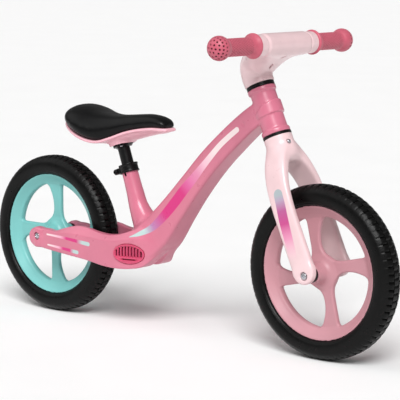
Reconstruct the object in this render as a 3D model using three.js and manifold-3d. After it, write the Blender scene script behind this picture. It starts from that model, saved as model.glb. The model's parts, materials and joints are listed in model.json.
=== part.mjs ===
// A child's balance bike: a cast frame with two chain stays, a steered fork and
// stem, two foam-tyred cast wheels and a saddle on a sliding post.
// Millimetres, +X forward, +Y to the rider's left, +Z up. The origin is on the
// ground midway between the two wheels.
import * as THREE from 'three';
import { mergeVertices } from 'three/addons/utils/BufferGeometryUtils.js';
import Module from 'manifold-3d';

// Driving dimensions.
const TYRE_RADIUS = 145;
const TYRE_HALF_WIDTH = 23.5;
const WHEELBASE = 616;
const HEAD_TILT = THREE.MathUtils.degToRad(24.2);
const SEAT_TILT = THREE.MathUtils.degToRad(19.5);
const SEAT_CLAMP = [-123, 274];
const GAP = 0.3;

// Wheel.
const RIM_EDGE_RADIUS = 111.1;
const RIM_HALF_WIDTH = 17;
const RIM_CHANNEL_RADIUS = 103;
const RIM_CHANNEL_HALF = 11;
const SPOKE_PLATE_HALF = 4.5;
const SPOKE_STRAIGHT = 13.5;
const SPOKE_CURVED = 6;
const SPOKE_FLARE = 22;
const SPOKE_ROOT = 30;
const OPENING_RADIUS = 90;
const HUB_HALF = 29.9;
const FRONT_SPIN = THREE.MathUtils.degToRad(13.3) - HEAD_TILT;

// Ball bearing of the usual 8 x 22 x 7 size, and the axle it runs on.
const BEARING_RADIUS = 11;
const BEARING_WIDTH = 7;
const BEARING_INSET = 0.2;
const AXLE_RADIUS = 4;
const AXLE_HALF = 50.6;
const BOLT_RADIUS = 2.5;
const BOLT_HEAD_RADIUS = 6;
const BOLT_HEAD_TALL = 3.6;
const BOLT_RECESS_RADIUS = 7;
const BOLT_RECESS_DEEP = 3;

// Fork blade, also the thickness of the rear dropout.
const BLADE_THICK = 14.5;
const BLADE_WIDE = 42;
const BLADE_Y = 46.75;
const BLADE_OUTER = BLADE_Y + BLADE_THICK / 2;
const BLADE_INNER = BLADE_Y - BLADE_THICK / 2;
const SPACER_RADIUS = 13;

// Steering column: heights are measured along the steering axis from the axle.
const CROWN_TOP = 235.7;
const LOWER_RING = [236, 240];
const UPPER_RING = [322, 328];
const HEAD_RADIUS = 22;
const HEAD_LIP_RADIUS = 24.3;
const HEAD_BAND_RADIUS = 24.9;
const STEERER_RADIUS = 12.7;
const STEERER_SPAN = [192, 352];
const HEAD_BEARING_RADIUS = 19;
const HEAD_BEARING_TALL = 7;

// Handlebar: place along the stem, then sizes along its own axis.
const BAR_FORWARD = 71.6;
const BAR_HEIGHT = 371.8;
const BAR_RADIUS = 11.1;
const BAR_HALF = 147;
const STEM_HALF = 75;
const STEM_STEP = 53;
const GRIP_TUBE_RADIUS = 14.7;
const GRIP_FLANGE_RADIUS = 21;
const BALL_RADIUS = 20;
const BALL_Y = 160.5;

// Seat post, clamp and saddle: heights along the post axis from the clamp.
const POST_RADIUS = 11;
const POST_SPAN = [-75, 51.7];
const SEAT_TUBE_RADIUS = 14;
const SEAT_TUBE_TOP = 12;
const SEAT_BORE_FLOOR = -98;
const COLLAR_SPAN = [-1, 14.5];
const COLLAR_RADIUS = 17.6;
const COLLAR_BORE = 15.2;
const FLANGE_RADIUS = 18;
const FLANGE_SCREW_CIRCLE = 14.4;
const FLANGE_TALL = 4;

// Foot-rest grille on each side of the frame: an oval on a wall that tapers
// towards the front. Depths are measured along the wall's normal.
const VENT_CENTRE = [-85, 44.8, 135.5];
const VENT_YAW = THREE.MathUtils.degToRad(15);
const VENT_HALF = [30.5, 17];
const VENT_DEPTH = 5;
const VENT_SLOTS = 8;

// Sides of round pieces: ordinary, small, and the big rings of a wheel.
const ROUND = 18;
const FINE_ROUND = 12;
const WHEEL_ROUND = 36;
const X = new THREE.Vector3(1, 0, 0);
const Y = new THREE.Vector3(0, 1, 0);
const Z = new THREE.Vector3(0, 0, 1);

const wasm = await Module();
wasm.setup();

// Closed three.js geometry to a solid that can be cut and joined.
function toSolid(geometry) {
  const bare = geometry.clone();
  bare.deleteAttribute('normal');
  bare.deleteAttribute('uv');
  const merged = mergeVertices(bare, 1e-4);
  return new wasm.Manifold(new wasm.Mesh({
    numProp: 3,
    vertProperties: new Float32Array(merged.attributes.position.array),
    triVerts: new Uint32Array(merged.index.array),
  }));
}

function toGeometry(solid) {
  const mesh = solid.getMesh();
  const geometry = new THREE.BufferGeometry();
  geometry.setAttribute('position', new THREE.BufferAttribute(mesh.vertProperties, 3));
  geometry.setIndex(new THREE.BufferAttribute(mesh.triVerts, 1));
  geometry.computeVertexNormals();
  return geometry;
}

// Join the first list of geometries and cut the second list out of the result.
function carve(joined, cuts = []) {
  const body = joined.map(toSolid).reduce((a, b) => a.add(b));
  return toGeometry(cuts.map(toSolid).reduce((a, b) => a.subtract(b), body));
}

// Cylinder from one height to another along Z.
function rod(radius, from, to, sides = ROUND) {
  const shape = new THREE.CylinderGeometry(radius, radius, to - from, sides);
  return shape.rotateX(Math.PI / 2).translate(0, 0, (from + to) / 2);
}

// Turn a solid made along Z so that it lies along Y.
function alongY(geometry) {
  return geometry.rotateX(-Math.PI / 2);
}

// Revolve [radius, height] points about Z. The profile is closed on itself
// unless it starts and ends on the axis.
function turned(points, sides = ROUND) {
  const profile = points.map(([r, h]) => new THREE.Vector2(r, h));
  if (points[0][0] > 0) {
    profile.push(profile[0].clone());
  }
  return new THREE.LatheGeometry(profile, sides).rotateX(Math.PI / 2);
}

function ring(inner, outer, from, to, sides = ROUND) {
  return turned([[inner, from], [outer, from], [outer, to], [inner, to]], sides);
}

// Rounded-box outline: squareness 2 is an ellipse, higher is boxier.
function roundedSection(wide, tall, squareness, sides) {
  return Array.from({ length: sides }, (_, i) => {
    const turn = (2 * Math.PI * (i + 0.5)) / sides;
    const bend = (value) => Math.sign(value) * Math.abs(value) ** (2 / squareness);
    return [(wide / 2) * bend(Math.cos(turn)), (tall / 2) * bend(Math.sin(turn))];
  });
}

// Flat on one side and domed on the other, standing `tall` high. The tuck is
// the angle by which the dome curls back in before it meets the flat side.
function domeSection(wide, tall, tuck, sides) {
  const lift = tall / (1 + Math.sin(tuck));
  return Array.from({ length: sides }, (_, i) => {
    const turn = -tuck + ((Math.PI + 2 * tuck) * i) / (sides - 1);
    return [(wide / 2) * Math.cos(turn), lift * (Math.sin(turn) + Math.sin(tuck))];
  });
}

// Skin a section through stations [x, y, z, wide, tall]. The width lies along
// `hint`, made square to the path.
function loft(stations, hint, { steps = 20, sides = 20, squareness = 4, section = roundedSection } = {}) {
  const path = new THREE.CatmullRomCurve3(stations.map((s) => new THREE.Vector3(s[0], s[1], s[2])));
  const sizes = new THREE.CatmullRomCurve3(stations.map((s) => new THREE.Vector3(s[3], s[4], 0)));
  const rings = [];
  for (let i = 0; i <= steps; i += 1) {
    const centre = path.getPoint(i / steps);
    const along = path.getTangent(i / steps);
    const across = hint.clone().addScaledVector(along, -hint.dot(along)).normalize();
    const up = along.clone().cross(across);
    const size = sizes.getPoint(i / steps);
    rings.push(section(size.x, size.y, squareness, sides).map(([a, b]) => (
      centre.clone().addScaledVector(across, a).addScaledVector(up, b))));
  }
  return skin(rings);
}

// Close a stack of equal rings with a fan at each end.
function skin(rings) {
  const sides = rings[0].length;
  const points = rings.flat();
  const faces = [];
  for (let i = 0; i < rings.length - 1; i += 1) {
    for (let j = 0; j < sides; j += 1) {
      const k = (j + 1) % sides;
      const a = i * sides + j;
      const b = i * sides + k;
      faces.push(a, b, a + sides, b, b + sides, a + sides);
    }
  }
  for (const [index, flip] of [[0, true], [rings.length - 1, false]]) {
    const centre = new THREE.Vector3();
    rings[index].forEach((p) => centre.addScaledVector(p, 1 / sides));
    const hub = points.push(centre) - 1;
    for (let j = 0; j < sides; j += 1) {
      const a = index * sides + j;
      const b = index * sides + ((j + 1) % sides);
      faces.push(...(flip ? [hub, b, a] : [hub, a, b]));
    }
  }
  const geometry = new THREE.BufferGeometry().setFromPoints(points);
  geometry.setIndex(faces);
  return geometry;
}

// Straight-sided plate from a shape, centred on its own mid plane.
function plate(shape, thick, curveSegments = 8) {
  const options = { depth: thick, bevelEnabled: false, curveSegments };
  return new THREE.ExtrudeGeometry(shape, options).translate(0, 0, -thick / 2);
}

function box(size, centre) {
  return new THREE.BoxGeometry(...size).translate(...centre);
}

const material = (color, roughness, metalness = 0) => ({ color, roughness, metalness });
const PINK = material('#df6d8e', 0.45);
const PALE = material('#efc3cb', 0.4);
const DUSTY = material('#dd96ac', 0.45);
const TEAL = material('#7ccfca', 0.45);
const GRIP = material('#cf4a6c', 0.7);
const FOAM = material('#1d1d1f', 0.75);
const COVER = material('#141415', 0.5);
const BLACK = material('#17171a', 0.35, 0.3);
const STEEL = material('#b9bcc0', 0.3, 1);

function piece(parent, name, geometry, look) {
  const mesh = new THREE.Mesh(geometry, new THREE.MeshStandardMaterial(look));
  mesh.name = name;
  parent.add(mesh);
  return mesh;
}

function subgroup(parent, name, position, turnY = 0) {
  const group = new THREE.Group();
  group.name = name;
  group.position.set(...position);
  group.rotation.y = turnY;
  parent.add(group);
  return group;
}

const SIDES = [['right', -1], ['left', 1]];

// One window between two spokes: a straight edge along the first spoke, the
// rim arc, then a flared curve down the second spoke.
function spokeWindow(turn, mirrored) {
  const straightTurn = Math.asin(SPOKE_STRAIGHT / OPENING_RADIUS);
  const flareTurn = Math.acos(SPOKE_FLARE / OPENING_RADIUS);
  const outline = new THREE.Path();
  outline.moveTo(SPOKE_ROOT, SPOKE_STRAIGHT);
  outline.lineTo(OPENING_RADIUS * Math.cos(straightTurn), SPOKE_STRAIGHT);
  outline.absarc(0, 0, OPENING_RADIUS, straightTurn, flareTurn);
  outline.quadraticCurveTo(SPOKE_CURVED - 3.5, 0.7 * OPENING_RADIUS, SPOKE_CURVED, SPOKE_ROOT);
  outline.quadraticCurveTo(SPOKE_CURVED + 4, SPOKE_STRAIGHT + 4, SPOKE_ROOT, SPOKE_STRAIGHT);
  const spin = new THREE.Matrix4().makeRotationZ(turn);
  const points = outline.getPoints(5).map((p) => {
    const [a, b] = mirrored ? [p.y, p.x] : [p.x, p.y];
    const placed = new THREE.Vector3(a, b, 0).applyMatrix4(spin);
    return new THREE.Vector2(placed.x, placed.y);
  });
  return new THREE.Path(points);
}

// Cast rim: channel ring with dished walls, a plate with four windows, a hub.
function rim(mirrored) {
  const wall = RIM_HALF_WIDTH;
  const channel = RIM_CHANNEL_RADIUS;
  const half = [[channel, RIM_CHANNEL_HALF], [109.3, 13.6], [RIM_EDGE_RADIUS, wall], [108.6, wall],
    [95, 8], [91, 4]];
  const other = half.map(([r, h]) => [r, -h]).reverse();
  const profile = [...half, ...other];
  const disc = new THREE.Shape().absarc(0, 0, 98, 0, 2 * Math.PI);
  for (let i = 0; i < 4; i += 1) {
    disc.holes.push(spokeWindow((i * Math.PI) / 2, mirrored));
  }
  const hub = [[0, -HUB_HALF], [14, -HUB_HALF], [16, -20], [27, -4], [27, 4],
    [16, 20], [14, HUB_HALF], [0, HUB_HALF]];
  const seat = BEARING_RADIUS + GAP;
  const depth = HUB_HALF - BEARING_WIDTH - BEARING_INSET - GAP;
  const body = carve(
    [turned(profile, WHEEL_ROUND), plate(disc, 2 * SPOKE_PLATE_HALF, 8), turned(hub)],
    [rod(8, -40, 40), rod(seat, depth, 40), rod(seat, -40, -depth)]);
  return body.rotateX(Math.PI / 2);
}

// Foam tyre. Its flats, not its corners, lie at the stated radii, so that one
// of them can rest on the ground.
function tyre() {
  const bead = RIM_CHANNEL_RADIUS + GAP;
  const foot = RIM_CHANNEL_HALF - 0.5;
  const half = [[bead, foot], [109, 12.8], [RIM_EDGE_RADIUS + 0.4, 17], [113, 21.5],
    [121, TYRE_HALF_WIDTH], [130, TYRE_HALF_WIDTH], [139, 17.5], [TYRE_RADIUS, 6]];
  const other = half.map(([r, h]) => [r, -h]).reverse();
  const halfSide = Math.PI / WHEEL_ROUND;
  const profile = [...half, ...other].reverse().map(([r, h]) => [r / Math.cos(halfSide), h]);
  return turned(profile, WHEEL_ROUND).rotateX(Math.PI / 2).rotateY(halfSide);
}

// Button-head bolt with a hexagon socket: the shank points inward along -Z.
function buttonBolt(radius, shank, headRadius, headTall) {
  const head = turned([[0, 0], [headRadius, 0], [headRadius, headTall * 0.3],
    [headRadius * 0.75, headTall * 0.8], [headRadius * 0.45, headTall], [0, headTall]], FINE_ROUND);
  const socket = rod(headRadius * 0.38, headTall * 0.35, headTall + 1, 6);
  return carve([head, rod(radius, -shank, 0.5, FINE_ROUND)], [socket]);
}

// A wheel with its bearings and the sleeve between them, turning about Y.
// `spin` turns the spokes and `level` brings a flat of the tyre to the ground.
function addWheel(parent, end, { spin, level, mirrored, look }) {
  const wheel = subgroup(parent, `${end}_wheel`, [0, 0, 0]);
  piece(wheel, `${end}_rim`, rim(mirrored), look).rotation.y = -spin;
  piece(wheel, `${end}_tyre`, tyre(), FOAM).rotation.y = level;
  const bearingOuter = HUB_HALF - BEARING_INSET;
  const bearing = ring(AXLE_RADIUS + GAP, BEARING_RADIUS, 0, BEARING_WIDTH);
  for (const [side, sign] of SIDES) {
    const race = piece(wheel, `${end}_bearing_${side}`, alongY(bearing.clone()), STEEL);
    race.position.y = sign > 0 ? bearingOuter - BEARING_WIDTH : -bearingOuter;
  }
  const sleeveHalf = bearingOuter - BEARING_WIDTH - GAP;
  const sleeve = ring(AXLE_RADIUS + GAP, 6, -sleeveHalf, sleeveHalf);
  piece(wheel, `${end}_hub_sleeve`, alongY(sleeve), STEEL);
}

// Through hole for an axle, with a recess in each blade's outer face for a bolt head.
function axleCuts() {
  const recess = () => rod(BOLT_RECESS_RADIUS, BLADE_OUTER - BOLT_RECESS_DEEP, BLADE_OUTER + 10);
  return [alongY(rod(AXLE_RADIUS + GAP, -80, 80)), alongY(recess()), alongY(recess()).rotateZ(Math.PI)];
}

// The fixed axle with its spacers and the bolts that hold it between blades.
function addAxle(parent, end) {
  const tapped = 18;
  const thread = BOLT_RADIUS + GAP;
  const axle = carve([rod(AXLE_RADIUS, -AXLE_HALF, AXLE_HALF)], [
    rod(thread, AXLE_HALF - tapped, AXLE_HALF + 1, FINE_ROUND),
    rod(thread, -AXLE_HALF - 1, tapped - AXLE_HALF, FINE_ROUND)]);
  piece(parent, `${end}_axle`, alongY(axle), STEEL);
  const from = HUB_HALF + GAP;
  const to = BLADE_INNER - GAP;
  for (const [side, sign] of SIDES) {
    const spacer = alongY(ring(AXLE_RADIUS + GAP, SPACER_RADIUS, from, to));
    const bolt = alongY(buttonBolt(BOLT_RADIUS, 15, BOLT_HEAD_RADIUS, BOLT_HEAD_TALL));
    piece(parent, `${end}_spacer_${side}`, spacer, BLACK).rotation.z = sign > 0 ? 0 : Math.PI;
    const screw = piece(parent, `${end}_axle_bolt_${side}`, bolt, STEEL);
    screw.position.y = sign * (BLADE_OUTER - BOLT_RECESS_DEEP + GAP);
    screw.rotation.z = sign > 0 ? 0 : Math.PI;
  }
}

// Right-hand stay: a nose under the foot rest, a hump beside the tyre, then a
// flat blade out to the axle.
function stay(sign, axleX) {
  const stations = [
    [-50, 20, 133, 20, 24], [-64, 25.5, 134, 27, 46], [-90, 32.5, 136.5, 28, 57],
    [-120, 38.5, 136, 27, 55], [-155, 42.5, 139, 23, 55], [-200, 44.6, 144.5, 18.5, 57],
    [-236, 45.5, 142, 16.5, 45], [-272, 46.4, 141.5, 15, 39],
    [axleX - 4, BLADE_Y, 143, BLADE_THICK, 34]];
  return loft(stations.map(([x, y, ...rest]) => [x, sign * y, ...rest]), Y, { steps: 13, sides: 12 });
}

// Points on the two tilted axes, as [x, y, z] in the bike's frame.
function onSeatAxis(height, ahead = 0) {
  const x = SEAT_CLAMP[0] - height * Math.sin(SEAT_TILT) + ahead * Math.cos(SEAT_TILT);
  const z = SEAT_CLAMP[1] + height * Math.cos(SEAT_TILT) + ahead * Math.sin(SEAT_TILT);
  return [x, 0, z];
}

const FRONT_AXLE = [WHEELBASE / 2, 0, TYRE_RADIUS];
const REAR_AXLE = [-WHEELBASE / 2, 0, TYRE_RADIUS];

function toHead(geometry) {
  return geometry.rotateY(-HEAD_TILT).translate(...FRONT_AXLE);
}

function toSeat(geometry) {
  return geometry.rotateY(-SEAT_TILT).translate(...onSeatAxis(0));
}

// Oval in the wall's own plane, centred on the grille.
function ventOutline(extra) {
  const outline = new THREE.Shape();
  outline.absellipse(0, 0, VENT_HALF[0] + extra, VENT_HALF[1] + extra, 0, 2 * Math.PI);
  return new THREE.Shape(outline.getPoints(32).slice(0, -1));
}

// Stand a plate drawn in XY against one of the two foot-rest walls.
function toVent(geometry, sign) {
  geometry.rotateX(Math.PI / 2).rotateZ(-sign * VENT_YAW);
  return geometry.translate(VENT_CENTRE[0], sign * VENT_CENTRE[1], VENT_CENTRE[2]);
}

// The whole frame casting.
function frame() {
  const mainTube = loft([
    [196, 0, 407.5, 40, 36], [160, 0, 383, 43, 38], [118.7, 0, 349, 45, 40], [76, 0, 310, 45, 42],
    [32, 0, 262, 46, 45], [-7.5, 0, 216, 50, 53], [-48, 0, 176, 56, 68],
    [-80, 0, 146, 76, 66], [-115, 0, 138, 92, 56], [-150, 0, 137, 92, 50]], Y, { steps: 16, sides: 12 });
  const seatTube = loft([
    [...onSeatAxis(SEAT_TUBE_TOP), 2 * SEAT_TUBE_RADIUS, 2 * SEAT_TUBE_RADIUS],
    [...onSeatAxis(-15), 28.5, 28.5], [...onSeatAxis(-40), 30.5, 31], [...onSeatAxis(-65, 1), 34, 37],
    [...onSeatAxis(-95, 9), 45, 51], [...onSeatAxis(-125, 19), 56, 68]], Y,
  { steps: 6, sides: 16, squareness: 2.1 });
  const head = [LOWER_RING[1] + GAP, UPPER_RING[0] - GAP];
  const headTube = toHead(turned([[0, head[0]], [HEAD_LIP_RADIUS, head[0]], [HEAD_LIP_RADIUS, head[0] + 6],
    [HEAD_RADIUS, head[0] + 9], [HEAD_RADIUS, head[1] - 9], [HEAD_LIP_RADIUS, head[1] - 6],
    [HEAD_LIP_RADIUS, head[1]], [0, head[1]]]));
  const band = toHead(rod(HEAD_BAND_RADIUS, -9, 9).rotateY(-0.22).translate(0, 0, 280));
  const dropouts = SIDES.map(([, sign]) => (
    alongY(rod(17, BLADE_INNER, BLADE_OUTER)).rotateZ(sign > 0 ? 0 : Math.PI)
      .translate(REAR_AXLE[0] - 4, 0, 143)));
  const seat = HEAD_BEARING_RADIUS + GAP;
  const ledge = HEAD_BEARING_TALL + 1;
  const headBores = [[STEERER_RADIUS + 2.5, 200, 400], [seat, 200, head[0] + ledge],
    [seat, head[1] - ledge, 400]];
  const cuts = headBores.map(([radius, from, to]) => toHead(rod(radius, from, to)));
  cuts.push(toSeat(rod(POST_RADIUS + GAP, SEAT_BORE_FLOOR, 40)));
  cuts.push(toSeat(box([4, 20, 20], [0, -12, SEAT_TUBE_TOP - 9])));
  cuts.push(...axleCuts().map((cut) => cut.translate(...REAR_AXLE)));
  for (const [, sign] of SIDES) {
    const recess = plate(ventOutline(GAP), 20);
    cuts.push(toVent(recess.translate(0, 0, -sign * (10 - VENT_DEPTH / 2 - GAP)), sign));
  }
  const stays = SIDES.map(([, sign]) => stay(sign, REAR_AXLE[0]));
  return carve([mainTube, seatTube, headTube, band, ...dropouts, ...stays], cuts);
}

// Slotted oval insert that fills the recess beside the foot rest.
function ventCover(sign) {
  const pitch = (2 * VENT_HALF[0] - 10) / VENT_SLOTS;
  const slot = (left, right, low, high) => (
    box([right - left, high - low, 2 * VENT_DEPTH], [(left + right) / 2, (low + high) / 2, 0]));
  const slots = [slot(-15, 15, -12, -9)];
  for (let i = 0; i < VENT_SLOTS; i += 1) {
    const x = (i - (VENT_SLOTS - 1) / 2) * pitch;
    const reach = VENT_HALF[1] * Math.sqrt(1 - (x / VENT_HALF[0]) ** 2) - 4;
    slots.push(slot(x - 1.8, x + 1.8, -5, reach));
  }
  return toVent(carve([plate(ventOutline(0), VENT_DEPTH)], slots), sign);
}

// Fork: round neck, arched shoulders and two flat blades, along the steering axis.
function fork() {
  const neck = turned([[0, 186], [18, 186], [25.5, 198], [25.5, 212], [24, 222], [24, CROWN_TOP],
    [0, CROWN_TOP]]);
  const stations = [
    [0, 0, 210, 48, 28], [0, 14, 203, 48, 25], [0, 29, 184, 46, 20], [0, 40, 157, 44, 16.5],
    [0, 45, 127, 42.5, 15], [0, BLADE_Y, 95, BLADE_WIDE, BLADE_THICK],
    [0, BLADE_Y, 50, BLADE_WIDE, BLADE_THICK], [0, BLADE_Y, 7, BLADE_WIDE, BLADE_THICK]];
  const blades = SIDES.map(([, sign]) => loft(
    stations.map(([x, y, ...rest]) => [x, sign * y, ...rest]), X, { steps: 11, sides: 12 }));
  const tips = SIDES.map(([, sign]) => (
    alongY(rod(BLADE_WIDE / 2, BLADE_INNER, BLADE_OUTER)).rotateZ(sign > 0 ? 0 : Math.PI).translate(0, 0, 7)));
  const cuts = [rod(STEERER_RADIUS + GAP, STEERER_SPAN[0] - GAP, 260), ...axleCuts(),
    crownScrewPlace(rod(2.3, -9, 10, FINE_ROUND))];
  return carve([neck, ...blades, ...tips], cuts);
}

// The crown screw enters the front of the neck, square to the steering axis.
function crownScrewPlace(geometry) {
  return geometry.rotateY(Math.PI / 2).translate(25.2, 0, 220).rotateZ(-0.25);
}

// Stem casting: a neck on the steerer that sweeps forward and widens to the bar.
function stem() {
  const neck = loft([
    [0, 0, UPPER_RING[1] + GAP, 48, 48], [0, 0, 345, 51, 51], [9, 0, 360, 68, 50], [34, 0, 369, 104, 42],
    [60, 0, 371, 132, 38], [BAR_FORWARD, 0, BAR_HEIGHT, 140, 34]], Y, { steps: 10, sides: 18, squareness: 2.3 });
  const barrel = turned([[0, -STEM_HALF], [18.4, -STEM_HALF], [18.4, -STEM_STEP], [19.4, 1 - STEM_STEP],
    [19.4, STEM_STEP - 1], [18.4, STEM_STEP], [18.4, STEM_HALF], [0, STEM_HALF]]);
  const cuts = [rod(STEERER_RADIUS + GAP, 300, STEERER_SPAN[1] + GAP),
    alongY(rod(BAR_RADIUS + GAP, -100, 100)).translate(BAR_FORWARD, 0, BAR_HEIGHT),
    ...STEM_SCREWS.map((place) => stemScrewPlace(rod(2.3, -8, 6, FINE_ROUND), place))];
  return carve([neck, alongY(barrel).translate(BAR_FORWARD, 0, BAR_HEIGHT)], cuts);
}

// Two screws on the underside of the stem: [forward, height, lean of the screw].
const STEM_SCREWS = [[64, 353.4, 3], [33, 351, 2.75]];

function stemScrewPlace(geometry, [forward, height, lean]) {
  return geometry.rotateY(lean).translate(forward, 0, height);
}

// Moulded grip with a flange at the stem and a ball at the end, along +Y.
function grip() {
  const start = STEM_HALF + GAP;
  const profile = [[0, start], [18.6, start], [GRIP_FLANGE_RADIUS, start + 2.5],
    [GRIP_FLANGE_RADIUS, start + 5], [17, start + 10],
    [GRIP_TUBE_RADIUS, start + 16], [GRIP_TUBE_RADIUS, BALL_Y - 14.5]];
  const neckAngle = Math.PI - Math.asin(GRIP_TUBE_RADIUS / BALL_RADIUS);
  for (let i = 1; i <= 8; i += 1) {
    const turn = neckAngle * (1 - i / 8);
    profile.push([i === 8 ? 0 : BALL_RADIUS * Math.sin(turn), BALL_Y + BALL_RADIUS * Math.cos(turn)]);
  }
  return alongY(carve([turned(profile)], [rod(BAR_RADIUS + GAP, 0, BAR_HALF + GAP)]));
}

// The saddle runs along X: [x, top height, border height, half width].
const SADDLE = [
  [-257, 373, 363, 16], [-252, 383, 361, 33], [-242, 389, 357, 47], [-228, 390.5, 350.5, 57.5],
  [-208, 385.5, 341, 62.5], [-186, 378.5, 333.5, 60.5], [-164, 375, 331.3, 53],
  [-140, 374, 338.5, 43], [-112, 376, 349, 34], [-84, 378.5, 355.5, 28.5],
  [-56, 380, 359, 24.5], [-36, 376.5, 359, 21], [-27, 369, 358.5, 14]];
const BASE_DEPTH = [4, 6, 8, 9, 9, 9, 9, 13.5, 18, 17, 13.5, 10, 6];
const CUSHION_TUCK = THREE.MathUtils.degToRad(35);

function cushion() {
  const stations = SADDLE.map(([x, top, border, half]) => [x, border, 2 * half, top - border]);
  return saddleLoft(stations, CUSHION_TUCK, 1);
}

function saddleBase() {
  const lip = (half) => 2 * (half * Math.cos(CUSHION_TUCK) + 2.5);
  const stations = SADDLE.map(([x, , border, half], i) => [x, border - GAP, lip(half), BASE_DEPTH[i]]);
  const flangeTop = POST_SPAN[1] + GAP;
  const screws = [0, 1, 2].map((i) => toSeat(saddleScrewPlace(rod(2.3, -1, 9, FINE_ROUND), i)));
  return carve([saddleLoft(stations, 0, -1)],
    [toSeat(rod(FLANGE_RADIUS + 3, flangeTop - 40, flangeTop)), ...screws]);
}

// Domed sections standing upright at stations [x, z, wide, tall], `side` up or down.
function saddleLoft(stations, tuck, side) {
  return skin(stations.map(([x, z, wide, tall]) => (
    domeSection(wide, tall, tuck, 15).map(([a, b]) => new THREE.Vector3(x, a * side, z + b * side)))));
}

function saddleScrewPlace(geometry, index) {
  const turn = (2 * Math.PI * index) / 3 + Math.PI;
  const across = FLANGE_SCREW_CIRCLE * Math.sin(turn);
  return geometry.translate(FLANGE_SCREW_CIRCLE * Math.cos(turn), across, POST_SPAN[1]);
}

function seatPost() {
  const [from, to] = POST_SPAN;
  const screws = [0, 1, 2].map((i) => saddleScrewPlace(rod(2.3, -10, 10, FINE_ROUND), i));
  return carve([rod(POST_RADIUS, from, to), rod(FLANGE_RADIUS, to - FLANGE_TALL, to)],
    [rod(POST_RADIUS - 2, from - 1, to - 8), ...screws]);
}

// Split collar with two ears at the back, joined by the clamp bolt.
function collar() {
  const [from, to] = COLLAR_SPAN;
  const middle = (from + to) / 2;
  const ears = box([15, 18, 10], [-22, 0, middle]);
  const boltHole = alongY(rod(BOLT_RADIUS + GAP, -20, 20, FINE_ROUND)).translate(-24.5, 0, middle);
  return carve([rod(COLLAR_RADIUS, from, to), ears], [
    rod(COLLAR_BORE, from - 1, SEAT_TUBE_TOP + GAP), rod(POST_RADIUS + GAP, from, to + 1),
    box([30, 4, 40], [-28, 0, middle]), boltHole]);
}

const group = new THREE.Group();
group.name = 'balance_bike';

function addFrame() {
  const body = subgroup(group, 'frame_body', [0, 0, 0]);
  piece(body, 'frame', frame(), PINK);
  for (const [side, sign] of SIDES) {
    piece(body, `vent_cover_${side}`, ventCover(sign), GRIP);
  }
  const head = subgroup(body, 'head', FRONT_AXLE, -HEAD_TILT);
  const bearing = ring(STEERER_RADIUS + GAP, HEAD_BEARING_RADIUS, 0, HEAD_BEARING_TALL);
  piece(head, 'head_bearing_lower', bearing.clone(), STEEL).position.z = LOWER_RING[1] + GAP + 0.4;
  piece(head, 'head_bearing_upper', bearing, STEEL).position.z = UPPER_RING[0] - GAP - 0.4 - HEAD_BEARING_TALL;
  addAxle(subgroup(body, 'rear_hub', REAR_AXLE), 'rear');
  const rearMount = subgroup(group, 'rear_wheel_mount', REAR_AXLE);
  addWheel(rearMount, 'rear', { spin: 0, level: 0, mirrored: true, look: TEAL });
  const clamp = subgroup(body, 'clamp', onSeatAxis(0), -SEAT_TILT);
  piece(clamp, 'seat_clamp', collar(), BLACK);
  const middle = (COLLAR_SPAN[0] + COLLAR_SPAN[1]) / 2;
  const bolt = alongY(buttonBolt(BOLT_RADIUS, 23, 4.6, 4)).rotateZ(Math.PI);
  piece(clamp, 'seat_clamp_bolt', bolt, BLACK).position.set(-24.5, -9 - GAP, middle);
  const nut = carve([rod(4.8, 0, 4, 6)], [rod(BOLT_RADIUS + GAP, -1, 5, FINE_ROUND)]);
  piece(clamp, 'seat_clamp_nut', alongY(nut), BLACK).position.set(-24.5, 9 + GAP, middle);
}

function addSteering() {
  const steering = subgroup(group, 'steering', FRONT_AXLE, -HEAD_TILT);
  piece(steering, 'fork', fork(), PALE);
  piece(steering, 'steerer_tube', ring(STEERER_RADIUS - 1.6, STEERER_RADIUS, ...STEERER_SPAN), STEEL);
  piece(steering, 'head_ring_lower', ring(STEERER_RADIUS + GAP, 24.7, ...LOWER_RING), BLACK);
  piece(steering, 'head_ring_upper', ring(STEERER_RADIUS + GAP, 24, ...UPPER_RING), BLACK);
  piece(steering, 'stem', stem(), PALE);
  piece(steering, 'crown_screw', crownScrewPlace(buttonBolt(2, 8, 3.2, 2).translate(0, 0, 0.2)), STEEL);
  STEM_SCREWS.forEach((place, i) => {
    piece(steering, `stem_screw_${i + 1}`, stemScrewPlace(rod(2, -7, 1, FINE_ROUND), place), BLACK);
  });
  const bar = subgroup(steering, 'bar', [BAR_FORWARD, 0, BAR_HEIGHT]);
  piece(bar, 'handlebar', alongY(ring(BAR_RADIUS - 1.5, BAR_RADIUS, -BAR_HALF, BAR_HALF)), STEEL);
  for (const [side, sign] of SIDES) {
    piece(bar, `grip_${side}`, grip(), GRIP).rotation.z = sign > 0 ? 0 : Math.PI;
  }
  addAxle(steering, 'front');
  addWheel(steering, 'front', { spin: FRONT_SPIN, level: HEAD_TILT, mirrored: false, look: DUSTY });
}

function addSeat() {
  const seat = subgroup(group, 'seat', [0, 0, 0]);
  piece(seat, 'saddle_cushion', cushion(), COVER);
  piece(seat, 'saddle_base', saddleBase(), PALE);
  const post = subgroup(seat, 'post', onSeatAxis(0), -SEAT_TILT);
  piece(post, 'seat_post', seatPost(), BLACK);
  for (let i = 0; i < 3; i += 1) {
    const screw = buttonBolt(2, 11, 2.8, 2).rotateX(Math.PI);
    piece(post, `saddle_screw_${i + 1}`, saddleScrewPlace(screw.translate(0, 0, -FLANGE_TALL - GAP), i), STEEL);
  }
}

addFrame();
addSteering();
addSeat();

export default group;
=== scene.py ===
# The looks of the balance bike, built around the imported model.
# Shapes are drawn in millimetres, in the bike's own frame or in the frame of the
# piece they belong to, and become metres when they are made into objects.
import json
import math

import bmesh
import bpy
import numpy as np
import openvdb as vdb
from mathutils import Matrix, Vector


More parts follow.
